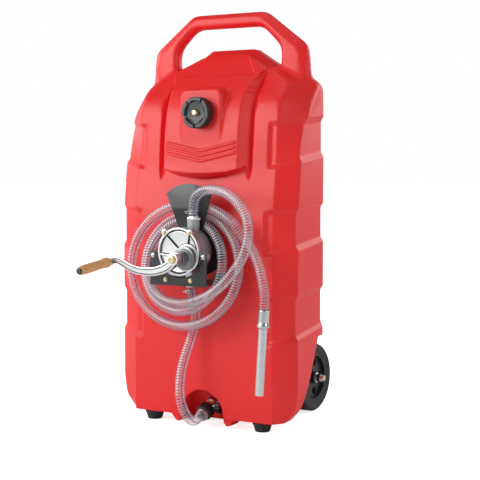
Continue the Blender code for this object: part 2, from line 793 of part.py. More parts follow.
def build_wheels():
    """Axle, and on each end a wheel between a spacer shoulder and a nut."""
    shaft = rod(axle_radius, -axle_half_length, axle_half_length)
    finish("axle", turned("axle", shaft, rod_sides), bright_steel, place=(0.0, wheel_y, wheel_radius),
           turn=face_right)
    half = tyre_width / 2
    bead = half * bead_share
    rise = [(wheel_radius * radius, half * width) for radius, width in tread_shares]
    tread = [(rim_radius + seat_gap, -bead)] + [(radius, -width) for radius, width in rise]
    tread += rise[::-1] + [(rim_radius + seat_gap, bead)]
    disc = rim_disc_width / 2
    rim = [(rim_bore, -half), (hub_radius, -half), (hub_radius, -disc), (rim_radius - rim_band, -disc),
           (rim_radius - rim_band, -bead), (rim_radius, -bead), (rim_radius, bead),
           (rim_radius - rim_band, bead), (rim_radius - rim_band, disc), (hub_radius, disc),
           (hub_radius, half), (rim_bore, half)]
    for side, suffix in ((-1.0, "left"), (1.0, "right")):
        hub = empty("wheel_axis_" + suffix, (side * (wheel_inner_x + half), wheel_y, wheel_radius), caddy)
        tyre = turned("tyre_" + suffix, tread, wheel_sides)
        finish("tyre_" + suffix, tyre, black_rubber, hub, turn=face_right)
        wheel = turned("rim_" + suffix, rim, cap_sides)
        wheel = finish("rim_" + suffix, wheel, black_plastic, hub, turn=face_right)
        for number in range(rim_slots):
            turn = math.tau * number / rim_slots
            place = (0.0, rim_slot_circle * math.cos(turn), rim_slot_circle * math.sin(turn))
            hole = turned("rim_hole", rod(rim_slot_radius, -half, half), dent_sides)
            hole = shape("rim_hole_%s_%d" % (suffix, number), hole, hub, place, face_right)
            join_in(wheel, hole, "DIFFERENCE")
        start = tyre_outer_x + seat_gap
        ring = sleeve(axle_radius + seat_gap, washer_radius, start, start + washer_thickness)
        finish("washer_" + suffix, turned("washer_" + suffix, ring, ring_sides), bright_steel,
               place=(0.0, wheel_y, wheel_radius), turn=(0.0, side * math.pi / 2, 0.0))
        start += washer_thickness + seat_gap
        cap_end = axle_half_length + seat_gap
        nut = [(axle_radius + seat_gap, start), (nut_radius, start), (nut_radius, start + nut_hexagon_length),
               (nut_radius * nut_dome_share, cap_end + nut_dome_rise), (0.0, cap_end + nut_tip_rise),
               (0.0, cap_end), (axle_radius + seat_gap, cap_end)]
        finish("axle_nut_" + suffix, capped_nut("axle_nut_" + suffix, nut), bright_steel,
               place=(0.0, wheel_y, wheel_radius), turn=(0.0, side * math.pi / 2, 0.0))


def capped_nut(name, profile):
    """A turned cap nut whose profile starts and ends at the mouth of its blind bore."""
    bm = bmesh.new()
    verts = [bm.verts.new((radius, 0.0, height)) for radius, height in profile]
    runs = [pair for pair in zip(verts, verts[1:]) if not (pair[0].co.x == 0.0 and pair[1].co.x == 0.0)]
    edges = [bm.edges.new(pair) for pair in runs]
    edges.append(bm.edges.new((verts[-1], verts[0])))
    bmesh.ops.spin(bm, geom=verts + edges, cent=(0, 0, 0), axis=(0, 0, 1), angle=math.tau, steps=ring_sides)
    bmesh.ops.remove_doubles(bm, verts=bm.verts, dist=weld_distance)
    return to_mesh(bm, name)


def build_cap():
    """Screw cap with a gripped rim, its seal, and the vent screw in its middle."""
    frame = empty("cap_axis", (0.0, boss_face_y, filler_z), caddy)
    bore = neck_radius + running_gap
    top = cap_length
    under = neck_length + seal_thickness + 2 * seat_gap
    face = top - cap_rim_height
    hole = vent_radius + seat_gap
    profile = [(bore, seat_gap), (cap_radius, seat_gap), (cap_radius, top), (cap_radius - cap_rim_wall, top),
               (cap_radius - cap_rim_wall - cap_wall, face), (hole, face), (hole, under), (bore, under)]
    cap = turned("filler_cap", profile, cap_sides)
    cap = finish("filler_cap", cap, black_plastic, frame, turn=face_forward)
    for number in range(cap_lobes):
        turn = math.tau * (2 * number + 1) / (2 * cap_lobes)
        half = cap_radius * math.tau / cap_lobes * cap_slot_share / 2
        inner = cap_radius - cap_rim_wall / 2
        notch = box("cap_notch", (inner, -top - overrun, -half), (cap_radius + overrun, -neck_length, half))
        notch.transform(Matrix.Rotation(turn, 4, "Y"))
        cut = shape("cap_notch_%d" % number, notch, frame)
        join_in(cap, cut, "DIFFERENCE")
    ring = sleeve(neck_bore, bore - seat_gap, neck_length + seat_gap, neck_length + seal_thickness + seat_gap)
    finish("cap_seal", turned("cap_seal", ring, cap_sides), black_rubber, frame, turn=face_forward)
    vent = [(0.0, under - cap_wall), (vent_radius, under - cap_wall), (vent_radius, face + seat_gap),
            (vent_head_radius, face + seat_gap), (vent_head_radius, face + vent_head_length),
            (0.0, face + vent_head_length)]
    finish("vent_screw", turned("vent_screw", vent, rod_sides), yellow_brass, frame, turn=face_forward)


def build_hanger():
    """Drum that carries the coil, and the disc with its fan-shaped lip."""
    depth = front_y - disc_y - 2 * seat_gap
    cup = [(0.0, depth - drum_wall), (drum_radius - drum_wall, depth - drum_wall),
           (drum_radius - drum_wall, 0.0), (drum_radius, 0.0), (drum_radius, depth), (0.0, depth)]
    finish("hanger_drum", turned("hanger_drum", cup, drum_sides), black_sheet,
           place=(pump_x, front_y - seat_gap, pump_z), turn=face_forward)
    waist = math.degrees(math.asin(fan_waist_half_width / disc_radius))
    rise = fan_top_z - fan_side_z
    bow = (fan_half_width ** 2 + rise ** 2) / (2 * rise)
    reach = math.degrees(math.asin(fan_half_width / bow))
    outline = arc((pump_x, pump_z), disc_radius, quarter_turn + waist, quarter_turn + full_turn - waist,
                  disc_steps)
    outline += arc((0.0, fan_top_z - bow), bow, quarter_turn - reach, quarter_turn + reach, fan_steps)
    sheet = drawn("hanger_plate", outline, disc_y - sheet_thickness, disc_y)
    plate = finish("hanger_plate", sheet, black_sheet)
    bm = bmesh.new()
    bm.from_mesh(plate.data)
    bmesh.ops.bisect_plane(bm, geom=bm.verts[:] + bm.edges[:] + bm.faces[:], plane_co=(0.0, 0.0, fan_fold_z),
                           plane_no=(0.0, 0.0, 1.0))
    for vert in bm.verts:
        if vert.co.z > fan_fold_z + seat_gap:
            vert.co.y -= fan_lean * (vert.co.z - fan_fold_z) / (fan_top_z - fan_fold_z)
    bm.to_mesh(plate.data)
    bm.free()


def build_pump():
    """Housing, gasket, cover, rotor with vanes, shaft and bush."""
    frame = empty("pump_frame", (pump_x, housing_front_y, pump_z), caddy)
    depth = disc_y - sheet_thickness - seat_gap - housing_front_y
    housing = turned("pump_housing", rod(housing_radius, -depth, 0.0), drum_sides)
    housing = finish("pump_housing", housing, cast_silver, frame, turn=face_forward)
    middle_y = port_y - housing_front_y
    outlet_root_z = pump_z + chamber_radius * outlet_root_share
    inlet_root_z = pump_z - chamber_radius * inlet_root_share
    for name, x, low, high in (("outlet_boss", outlet_x, outlet_root_z, outlet_top_z),
                               ("inlet_boss", inlet_x, inlet_bottom_z, inlet_root_z)):
        boss = turned(name, rod(port_radius, low - pump_z, high - pump_z), ring_sides)
        join_in(housing, shape(name, boss, frame, (x - pump_x, middle_y, 0.0)), "UNION")
    lugs = [(side * upper_screw_x, upper_screw_z) for side in (-1.0, 1.0)]
    ears = [(side * side_screw_x, side_screw_z) for side in (-1.0, 1.0)]
    ears += [(side * lower_screw_x, lower_screw_z) for side in (-1.0, 1.0)]
    for number, (x, z) in enumerate(ears):
        ear = hull_bar("housing_ear_%d" % number, (x, z), ear_thickness, -ear_thickness)
        join_in(housing, shape("housing_ear_%d" % number, ear, frame), "UNION")
    room = rod(chamber_radius, -depth + housing_wall, overrun)
    room = shape("pump_chamber", turned("pump_chamber", room, wheel_sides), frame, turn=face_forward)
    join_in(housing, room, "DIFFERENCE")
    upper_z = pump_z + chamber_radius / 2
    lower_z = pump_z - chamber_radius / 2
    for name, x, low, high in (("outlet_bore", outlet_x, upper_z, outlet_top_z + overrun),
                               ("inlet_bore", inlet_x, inlet_bottom_z - overrun, lower_z)):
        bore = turned(name, rod(port_bore, low - pump_z, high - pump_z), bore_sides)
        join_in(housing, shape(name, bore, frame, (x - pump_x, middle_y, 0.0)), "DIFFERENCE")
    ring = sleeve(chamber_radius, housing_radius, seat_gap, gasket_thickness + seat_gap)
    finish("cover_gasket", turned("cover_gasket", ring, drum_sides), black_rubber, frame, turn=face_forward)

    base = gasket_thickness + 2 * seat_gap
    top = base + cover_thickness
    sunk = top - cover_face_sink
    profile = [(0.0, base), (housing_radius, base), (housing_radius, top),
               (housing_radius - cover_ring_width, top),
               (housing_radius - cover_ring_width, sunk), (0.0, sunk)]
    cover = turned("pump_cover", profile, drum_sides)
    cover = finish("pump_cover", cover, cast_silver, frame, turn=face_forward)
    for number, (x, z) in enumerate(ears + lugs):
        thickness = cover_thickness - 2 * cover_lug_step if (x, z) in lugs else cover_lug_thickness - cover_lug_step
        lug = hull_bar("cover_lug_%d" % number, (x, z), thickness, base + cover_lug_step)
        join_in(cover, shape("cover_lug_%d" % number, lug, frame), "UNION")
    shaft_place = (shaft_x - pump_x, 0.0, shaft_z - pump_z)
    for number, angle in enumerate(rib_angles):
        reach = housing_radius - cover_ring_width / 2
        end = Vector((reach * math.cos(math.radians(angle)), reach * math.sin(math.radians(angle))))
        start = Vector((shaft_place[0], shaft_place[2]))
        across = (end - start).normalized().orthogonal() * cover_rib_width / 2
        outline = [tuple(start + across), tuple(end + across), tuple(end - across), tuple(start - across)]
        rib = drawn("cover_rib", outline, cover_rib_sink - top, seat_gap - sunk)
        join_in(cover, shape("cover_rib_%d" % number, rib, frame), "UNION")
    collar_top = top + collar_length
    nose_top = collar_top + neck_collar_length
    nose_root = sunk - cover_rib_sink
    nose = [(0.0, nose_root), (collar_radius, nose_root), (collar_radius, collar_top),
            (neck_collar_radius, collar_top), (neck_collar_radius, nose_top), (0.0, nose_top)]
    nose = shape("cover_nose", turned("cover_nose", nose, cap_sides), frame, shaft_place, face_forward)
    join_in(cover, nose, "UNION")
    bush_radius = shaft_radius + running_gap + bush_wall
    hole = rod(bush_radius + seat_gap, base - overrun, nose_top + overrun)
    hole = shape("bush_bore", turned("bush_bore", hole, ring_sides), frame, shaft_place, face_forward)
    join_in(cover, hole, "DIFFERENCE")
    bush = sleeve(shaft_radius + pin_gap, bush_radius, base, nose_top)
    bush = turned("shaft_bush", bush, cap_sides)
    finish("shaft_bush", bush, yellow_brass, frame, shaft_place, face_forward)

    plate_front = base + cover_lug_thickness + bracket_thickness + 2 * seat_gap
    screws("cover_screw", lugs, top + seat_gap, yellow_brass, frame)
    screws("side_screw", ears[:2], plate_front, bright_steel, frame)
    screws("lower_screw", ears[2:], plate_front, yellow_brass, frame)
    return depth


def hull_bar(name, place, thickness, base):
    """A lug from the pump's middle out to a screw, with a round end."""
    end = Vector((place[0] - pump_x, place[1] - pump_z))
    along = end.normalized()
    across = along.orthogonal() * lug_radius
    root = along * chamber_radius * lug_root_share
    heading = math.degrees(math.atan2(along.y, along.x))
    outline = arc(tuple(end), lug_radius, heading - quarter_turn, heading + quarter_turn, lug_steps)
    side = Vector(outline[-1]) - end
    outline += [tuple(root + side), tuple(root - side)]
    return drawn(name, outline, -(base + thickness), -base)


def screws(name, places, base, surface, frame):
    """A pair of hexagonal screw heads that lie on a face."""
    for (x, z), suffix in zip(places, ("_left", "_right")):
        head = turned(name, rod(screw_radius, base, base + screw_head), hexagon_sides)
        finish(name + suffix, head, surface, frame, (x - pump_x, 0.0, z - pump_z), face_forward)


def build_rotor(depth):
    """The turning parts: rotor, vanes, shaft, crank, its screw, and the grip on its pin."""
    axis = empty("crank_axis", (shaft_x, housing_front_y, shaft_z), caddy)
    inner = -depth + housing_wall + running_gap
    outer = gasket_thickness + seat_gap - running_gap
    bore = shaft_radius + seat_gap
    rotor = turned("rotor", sleeve(bore, rotor_radius, inner, outer), cap_sides)
    rotor = finish("rotor", rotor, bright_steel, axis, turn=face_forward)
    for number in range(vane_count):
        turn = math.tau * (2 * number + 1) / (2 * vane_count)
        slot_half = vane_thickness / 2 + seat_gap
        slot = box("slot", (vane_root_radius - seat_gap, -outer - overrun, -slot_half),
                   (rotor_radius + overrun, -inner + overrun, slot_half))
        slot.transform(Matrix.Rotation(turn, 4, "Y"))
        join_in(rotor, shape("vane_slot_%d" % number, slot, axis), "DIFFERENCE")
        vane = box("vane", (vane_root_radius, -outer, -vane_thickness / 2),
                   (rotor_radius, -inner, vane_thickness / 2))
        finish("vane_%d" % (number + 1), vane, black_plastic, axis, turn=(0.0, turn, 0.0))
    front = housing_front_y - crank_front_y
    hub_back = front - hub_length
    shaft_end = front - crank_screw_head
    shaft = turned("pump_shaft", rod(shaft_radius, inner, shaft_end), ring_sides)
    finish("pump_shaft", shaft, bright_steel, axis, turn=face_forward)

    arm_path = [Vector((-crank_reach * along, -crank_sag * down)) for along, down in arm_shares]
    upper = []
    lower = []
    for number, point in enumerate(arm_path):
        before = arm_path[max(number - 1, 0)]
        after = arm_path[min(number + 1, len(arm_path) - 1)]
        side = (after - before).normalized().orthogonal() * arm_width / 2
        upper.append(tuple(point + side))
        lower.append(tuple(point - side))
    back_y = -front + arm_thickness
    arm = finish("crank_arm", drawn("crank_arm", upper + lower[::-1], -front, back_y), cast_silver, axis)
    hub = turned("crank_hub", rod(hub_half_radius, hub_back, front + seat_gap), band_sides)
    join_in(arm, shape("crank_hub", hub, axis, turn=face_forward), "UNION")
    end = arm_path[-1]
    boss_end = front + grip_boss_rise
    boss = rod(arm_width / 2 + seat_gap, front - arm_thickness - seat_gap, boss_end)
    boss = turned("grip_boss", boss, rod_sides)
    join_in(arm, shape("grip_boss", boss, axis, (end.x, 0.0, end.y), face_forward), "UNION")
    hole = rod(shaft_radius + seat_gap, hub_back - overrun, shaft_end + seat_gap)
    hole = turned("hub_hole", hole, ring_sides)
    join_in(arm, shape("hub_hole", hole, axis, turn=face_forward), "DIFFERENCE")
    head = rod(crank_screw_radius, front + 2 * seat_gap, front + crank_screw_head)
    head = turned("crank_screw", head, rod_sides)
    finish("crank_screw", head, yellow_brass, axis, turn=face_forward)

    holder = empty("grip_holder", (end.x, -boss_end, end.y), axis)
    holder.rotation_euler = (math.pi / 2 + grip_droop, 0.0, 0.0)
    grip_start = grip_root + grip_boss_rise
    grip_end = grip_start + grip_length
    pin = [(0.0, grip_root), (grip_pin_radius, grip_root), (grip_pin_radius, pin_end),
           (grip_pin_head, pin_end), (grip_pin_head, pin_end + grip_pin_radius),
           (0.0, pin_end + grip_pin_radius)]
    finish("grip_pin", turned("grip_pin", pin, rod_sides), bright_steel, holder)
    hole = grip_pin_radius + pin_gap
    grip = [(hole, grip_start)]
    for step in range(grip_steps + 1):
        share = step / grip_steps
        swell = grip_bulge * math.cos(math.tau * grip_waves * share)
        grip.append((grip_radius + swell, grip_start + grip_length * share))
    grip.append((hole, grip_end))
    finish("grip", turned("grip", grip, grip_sides), pale_wood, holder)


def build_bracket():
    """Front plate that carries the pump, cut out for its cover, on two arms from feet on the tank."""
    base = gasket_thickness + 2 * seat_gap + cover_lug_thickness + seat_gap
    front = housing_front_y - base - bracket_thickness
    back = housing_front_y - base
    outline = [(-bracket_half_width, bracket_bottom_z), (bracket_half_width, bracket_bottom_z),
               (bracket_half_width, bracket_top_z), (-bracket_half_width, bracket_top_z)]
    plate = finish("pump_bracket", drawn("pump_bracket", outline, front, back), black_sheet)
    cut = turned("bracket_cut", rod(bracket_cut_radius, -overrun, overrun), drum_sides)
    join_in(plate, shape("bracket_cut", cut, place=(pump_x, front, pump_z), turn=face_forward), "DIFFERENCE")
    for side in (-1.0, 1.0):
        name = "bracket_arm_left" if side < 0.0 else "bracket_arm_right"
        ends = sorted((side * bracket_arm_x, side * (bracket_arm_x - bracket_thickness)))
        arm = box(name, (ends[0], front + bracket_thickness / 2, bracket_bottom_z + seat_gap),
                  (ends[1], front_y - seat_gap, bracket_bottom_z + bracket_arm_width))
        join_in(plate, shape(name, arm), "UNION")
        foot = sorted((side * (bracket_arm_x - seat_gap), side * bracket_foot_x))
        tab = box(name + "_foot",
                  (foot[0], front_y - seat_gap - bracket_thickness, bracket_bottom_z + 2 * seat_gap),
                  (foot[1], front_y - 2 * seat_gap, bracket_arm_z + seat_gap))
        join_in(plate, shape(name + "_foot", tab), "UNION")


def clamp(name, place, turn, spin=0.0):
    """A band round a hose end with a screw block on one side."""
    inner = hose_radius + seat_gap
    outer = inner + clamp_wall
    frame = empty(name + "_frame", place, caddy)
    frame.rotation_euler = turn
    band = turned(name, sleeve(inner, outer, -clamp_width / 2, clamp_width / 2), band_sides)
    band = finish(name, band, bright_steel, frame)
    block = rod(clamp_screw_radius, -clamp_screw_length / 2, clamp_screw_length / 2)
    block = turned(name + "_screw", block, peg_sides)
    reach = outer + clamp_screw_radius * clamp_screw_share
    screw = shape(name + "_screw", block, frame, (reach * math.cos(spin), reach * math.sin(spin), 0.0),
                  (math.pi / 2, 0.0, spin))
    join_in(band, screw, "UNION")


def build_fittings():
    """Nipples between the pump's ports and the hoses, and the clamps."""
    collar = port_radius - clamp_wall
    outlet = [(port_bore - clamp_wall, outlet_top_z + seat_gap), (collar, outlet_top_z + seat_gap),
              (collar, outlet_hose_z - seat_gap), (port_bore - clamp_wall, outlet_hose_z - seat_gap)]
    outlet = turned("outlet_fitting", outlet, ring_sides)
    finish("outlet_fitting", outlet, cast_silver, place=(outlet_x, port_y, 0.0))
    inlet = [(port_bore - clamp_wall, inlet_hose_z + seat_gap), (collar, inlet_hose_z + seat_gap),
             (collar, inlet_bottom_z - seat_gap), (port_bore - clamp_wall, inlet_bottom_z - seat_gap)]
    inlet = turned("inlet_fitting", inlet, ring_sides)
    finish("inlet_fitting", inlet, cast_silver, place=(inlet_x, port_y, 0.0))
    upright = (0.0, 0.0, 0.0)
    clamp("outlet_clamp", (outlet_x, port_y, outlet_hose_z + clamp_width), upright, outlet_clamp_turn)
    clamp("inlet_clamp", (inlet_x, port_y, inlet_hose_z - clamp_width), upright, inlet_clamp_turn)


def build_valve():
    """Bottom valve: seal, nut, body with ball and stem, coupler, and the clamp on the hose."""
    frame = empty("valve_frame", valve_centre, caddy)
    frame.rotation_euler = face_valve
    wall = niche_port_depth + valve_nut_length + port_seal_thickness
    seal = sleeve(valve_bore, valve_nut_radius, wall - port_seal_thickness, wall - seat_gap)
    finish("port_seal", turned("port_seal", seal, ring_sides), black_rubber, frame)
    nut_start = wall - port_seal_thickness - seat_gap - valve_nut_length
    nut = sleeve(valve_bore, valve_nut_radius, nut_start, nut_start + valve_nut_length)
    finish("valve_nut", turned("valve_nut", nut, hexagon_sides), yellow_brass, frame)
    body_end = nut_start - seat_gap
    body_start = body_end - valve_body_length
    body = turned("valve_body", rod(valve_body_radius, body_start, body_end), ring_sides)
    body = finish("valve_body", body, yellow_brass, frame)
    middle = (body_start + body_end) / 2
    seat = bmesh.new()
    bmesh.ops.create_uvsphere(seat, u_segments=bore_sides, v_segments=ball_rings,
                              radius=ball_radius + seat_gap)
    join_in(body, shape("ball_seat", to_mesh(seat, "ball_seat"), frame, (0.0, 0.0, middle)), "DIFFERENCE")
    bore = turned("body_bore", rod(ball_bore, body_start - overrun, body_end + overrun), bore_sides)
    join_in(body, shape("body_bore", bore, frame), "DIFFERENCE")
    gland = turned("stem_bore", rod(stem_radius + seat_gap, 0.0, valve_body_radius + overrun), bore_sides)
    join_in(body, shape("stem_bore", gland, frame, (0.0, 0.0, middle), face_right), "DIFFERENCE")
    coupler_end = body_start - seat_gap
    coupler_start = coupler_end - coupler_length
    ring = sleeve(ball_bore, coupler_radius, coupler_start, coupler_end)
    coupler = finish("valve_coupler", turned("valve_coupler", ring, ring_sides), black_plastic, frame)
    for number in range(coupler_grooves):
        turn = math.tau * number / coupler_grooves
        place = (coupler_radius * math.cos(turn), coupler_radius * math.sin(turn), 0.0)
        cut = rod(coupler_groove_radius, coupler_start + coupler_groove_inset,
                  coupler_end - coupler_groove_inset)
        cut = turned("grip_groove", cut, hexagon_sides)
        join_in(coupler, shape("grip_groove_%d" % number, cut, frame, place), "DIFFERENCE")
    stem_axis = empty("knob_axis", (0.0, 0.0, middle), frame)
    ball = bmesh.new()
    bmesh.ops.create_uvsphere(ball, u_segments=bore_sides, v_segments=ball_rings, radius=ball_radius)
    sphere = finish("valve_ball", to_mesh(ball, "valve_ball"), bright_steel, stem_axis)
    hole = turned("ball_hole", rod(ball_bore, -ball_radius - overrun, ball_radius + overrun), bore_sides)
    join_in(sphere, shape("ball_hole", hole, stem_axis), "DIFFERENCE")
    knob_start = coupler_radius + running_gap
    stem_start = ball_radius + seat_gap
    stem = turned("valve_stem", rod(stem_radius, stem_start, knob_start + knob_socket_depth), bore_sides)
    finish("valve_stem", stem, bright_steel, stem_axis, turn=face_right)
    socket = stem_radius + seat_gap
    socket_end = knob_start + knob_socket_depth + seat_gap
    profile = [(socket, knob_start), (knob_radius, knob_start), (knob_radius, knob_start + knob_length),
               (0.0, knob_start + knob_length), (0.0, socket_end),
               (socket, socket_end)]
    knob = finish("valve_knob", capped_nut("valve_knob", profile), black_plastic, stem_axis, turn=face_right)
    for number in range(knob_lobes):
        turn = math.tau * number / knob_lobes
        place = (0.0, knob_radius * math.cos(turn), knob_radius * math.sin(turn))
        dent = rod(knob_lobe_radius, knob_start - overrun, knob_start + knob_length + overrun)
        dent = turned("knob_dent", dent, dent_sides)
        join_in(knob, shape("knob_dent_%d" % number, dent, stem_axis, place, face_right), "DIFFERENCE")
    return coupler_start


def coil_point(turns):
    """Centre line of the delivery coil, counted in turns from the bottom of the first."""
    angle = math.tau * turns
    radius = coil_start_radius + coil_growth * turns + coil_quickening * turns ** 2
    low = (1.0 + math.cos(angle)) / 2
    weave = coil_weave * math.cos(math.pi * (turns - coil_weave_start))
    lift = coil_lift * (coil_turns - turns) * (1.0 - low)
    return Vector((coil_x - radius * coil_stretch * math.sin(angle),
                   coil_y - weave - (coil_tilt - coil_tilt_loss * turns) * low,
                   coil_z - coil_drop * turns ** 2 + lift - radius * math.cos(angle)))


def smooth_route(points, pieces):
    """Points along a smooth curve through hand-chosen ones."""
    knots = [Vector(point) for point in points]
    knots = [2 * knots[0] - knots[1]] + knots + [2 * knots[-1] - knots[-2]]
    route = []
    for number in range(1, len(knots) - 2):
        a, b, c, d = knots[number - 1:number + 3]
        for step in range(pieces):
            t = step / pieces
            route.append(0.5 * (2 * b + (c - a) * t + (2 * a - 5 * b + 4 * c - d) * t ** 2
                                + (3 * b - a - 3 * c + d) * t ** 3))
    route.append(knots[-2])
    return route


def hose(name, route, sides):
    """A plain round hose along a route."""
    curve = bpy.data.curves.new(name, "CURVE")
    curve.dimensions = "3D"
    curve.bevel_depth = hose_radius
    curve.bevel_resolution = sides
    curve.use_fill_caps = True
    spline = curve.splines.new("POLY")
    spline.points.add(len(route) - 1)
    for place, point in zip(spline.points, route):
        place.co = (*point, 1.0)
    curve.materials.append(clear_hose)
    piece = bpy.data.objects.new(name, curve)
    bpy.context.scene.collection.objects.link(piece)
    piece.parent = caddy
    return piece


# Hand-chosen points of the free stretches, in the tank's own frame
lead_points = (
    (0.0208, -0.2305, 0.4968), (0.0225, -0.2308, 0.5075),
    (0.0305, -0.2325, 0.5195), (0.0470, -0.2360, 0.5290),
    (0.0700, -0.2405, 0.5325), (0.0940, -0.2455, 0.5310),
    (0.1190, -0.2510, 0.5245), (0.1460, -0.2570, 0.5075),
    (0.1700, -0.2630, 0.4805), (0.1805, -0.2680, 0.4500),
    (0.1780, -0.2710, 0.4190), (0.1660, -0.2730, 0.3885),
    (0.1420, -0.2720, 0.3565), (0.1100, -0.2700, 0.3270),
    (0.0780, -0.2670, 0.3065), (0.0440, -0.2605, 0.2935),
)
tail_points = (
    (0.1270, -0.1975, 0.4290), (0.1500, -0.1985, 0.4020),
    (0.1690, -0.2030, 0.3680), (0.1810, -0.2085, 0.3340),
    (0.1872, -0.2110, 0.3005),
)
suction_points = (
    (0.0150, -0.2300, 0.3010), (0.0145, -0.2215, 0.2870),
    (0.0125, -0.2105, 0.2745), (0.0085, -0.2030, 0.2600),
    (0.0035, -0.1975, 0.2440), (-0.0025, -0.1940, 0.2250),
    (-0.0080, -0.1940, 0.2060), (-0.0135, -0.1985, 0.1850),
    (-0.0180, -0.2075, 0.1600), (-0.0200, -0.2180, 0.1300),
    (-0.0185, -0.2265, 0.1000), (-0.0155, -0.2300, 0.0740),
    (-0.0100, -0.2255, 0.0470), (-0.0045, -0.2125, 0.0255), (-0.0010, -0.1975, 0.0158),
)


def build_hoses(coupler_start):
    """Delivery hose from the outlet over the arc into the coil, its tail, and the suction hose."""
    count = round(coil_turns * coil_points_per_turn)
    coil = [coil_point(coil_turns * number / count) for number in range(count + 1)]
    into = (coil[1] - coil[0]).normalized()
    out = (coil[-1] - coil[-2]).normalized()
    lead_start = Vector((outlet_x, port_y, outlet_hose_z))
    lead = [lead_start] + smooth_route(lead_points, route_pieces)
    lead_end = coil[0] - into * seat_gap
    lead += [lead_end - into * 2 * hose_radius, lead_end]
    coil_start = [coil[0], coil[0] + into * 2 * hose_radius]
    coil_end = [coil[-1] - out * 2 * hose_radius, coil[-1]]
    coil = coil_start + coil[coil_eased_points:-coil_eased_points] + coil_end
    tail_start = coil[-1] + out * seat_gap
    down = Vector((-math.sin(spout_lean), 0.0, -math.cos(spout_lean)))
    tail = [tail_start, tail_start + out * 2 * hose_radius] + smooth_route(tail_points, route_pieces)
    tail_end = tail[-1] + down * 2 * hose_radius
    tail.append(tail_end)
    stretch = (inlet_hose_z - valve_z) / suction_rise
    bends = [(x, y, valve_z + (z - valve_z) * stretch) for x, y, z in suction_points]
    suction = [Vector((inlet_x, port_y, inlet_hose_z))] + smooth_route(bends, route_pieces)
    suction_end = valve_centre + valve_axis * (coupler_start - seat_gap)
    suction += [suction_end - valve_axis * 2 * hose_radius, suction_end]
    hose("delivery_lead", lead, hose_round_steps)
    hose("delivery_coil", coil, coil_round_steps)
    hose("delivery_tail", tail, hose_round_steps)
    hose("suction_hose", suction, hose_round_steps)
    print("least gap of the coil to itself, mm: %.2f" % (1000 * coil_clearance(coil)))

    ferrule = [(0.0, 0.0), (hose_radius, 0.0)]
    ferrule += [(ferrule_radius * radius, -ferrule_length * depth) for radius, depth in ferrule_shares]
    ferrule += [(spout_radius, -ferrule_length), (0.0, -ferrule_length)]
    place = tail_end + down * seat_gap
    lean = (0.0, spout_lean, 0.0)
    ferrule = turned("hose_ferrule", ferrule, ring_sides)
    finish("hose_ferrule", ferrule, bright_steel, place=place, turn=lean)
    spout = sleeve(spout_radius - spout_wall, spout_radius, -spout_length, 0.0)
    spout = turned("spout", spout, ring_sides)
    finish("spout", spout, bright_steel, place=place + down * (ferrule_length + seat_gap), turn=lean)
    clamp("valve_clamp", suction_end - valve_axis * clamp_width, face_valve, valve_clamp_turn)


def coil_clearance(route):
    """Least distance between two turns' centre lines, less the hose's diameter."""
    least = coil_start_radius
    for number, point in enumerate(route):
        for other in route[number + coil_points_per_turn // 2:]:
            least = min(least, (point - other).length)
    return least - 2 * hose_radius


build_tank()
build_feet()
build_wheels()
build_cap()
build_hanger()
build_rotor(build_pump())
build_bracket()
build_fittings()
build_hoses(build_valve())
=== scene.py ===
"""Fuel caddy: what the eye sees of the moulded tank, the hand pump, the clear hoses and the wheels.

Metres, +Z up, the pump faces -Y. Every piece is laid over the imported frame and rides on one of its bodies.
"""
import math

import bmesh
import bpy
from mathutils import Matrix, Vector


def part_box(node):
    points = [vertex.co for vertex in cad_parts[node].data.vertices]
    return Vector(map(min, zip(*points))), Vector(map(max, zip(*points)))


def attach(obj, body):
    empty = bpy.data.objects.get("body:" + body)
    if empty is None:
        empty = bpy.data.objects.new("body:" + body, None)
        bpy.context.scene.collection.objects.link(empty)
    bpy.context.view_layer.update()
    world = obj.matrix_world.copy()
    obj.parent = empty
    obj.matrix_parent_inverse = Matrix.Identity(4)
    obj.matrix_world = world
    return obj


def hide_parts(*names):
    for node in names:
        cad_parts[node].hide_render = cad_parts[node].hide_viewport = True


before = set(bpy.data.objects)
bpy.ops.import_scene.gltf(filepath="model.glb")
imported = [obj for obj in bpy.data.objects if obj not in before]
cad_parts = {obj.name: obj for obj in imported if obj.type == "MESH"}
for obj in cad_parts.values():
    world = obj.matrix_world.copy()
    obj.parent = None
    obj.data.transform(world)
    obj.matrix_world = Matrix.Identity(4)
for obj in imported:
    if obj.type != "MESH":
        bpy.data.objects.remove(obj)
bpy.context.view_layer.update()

# The tank's own datum lies behind the frame's middle
wheel_datum_y = 0.122
axle_low, axle_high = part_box("axle")
datum = Vector((0.0, (axle_low.y + axle_high.y) / 2 - wheel_datum_y, 0.0))

scene = bpy.context.scene
scene.view_settings.view_transform = "Standard"


# ---------------------------------------------------------------- camera and lamps

view_azimuth = 30.5
view_pitch = 3.49
view_distance = 2.868
view_target = Vector((0.002, 0.0, 0.4102)) + datum
camera_lens = 91.95
camera_sensor = 36.0

# Softboxes: name, azimuth, elevation, distance, width, height, power
softboxes = (
    ("key", -34.0, 20.0, 2.5, 1.4, 1.3, 31.0),
    ("left", -96.0, 12.0, 2.4, 1.0, 1.8, 14.0),
    ("right", 78.0, 16.0, 2.8, 1.4, 1.4, 14.0),
    ("back", 150.0, 22.0, 2.8, 1.8, 1.6, 22.0),
    ("top", 10.0, 82.0, 2.2, 1.6, 1.6, 6.0),
)


def stood(name, data, azimuth, elevation, distance):
    """A camera or lamp aimed at the caddy's middle; azimuth 0 is straight in front and 90 to the right."""
    azimuth, elevation = math.radians(azimuth), math.radians(elevation)
    flat = math.cos(elevation)
    made = bpy.data.objects.new(name, data)
    scene.collection.objects.link(made)
    made.location = view_target + distance * Vector((math.sin(azimuth) * flat, -math.cos(azimuth) * flat,
                                                     math.sin(elevation)))
    made.rotation_euler = (view_target - made.location).to_track_quat("-Z", "Y").to_euler()
    return made


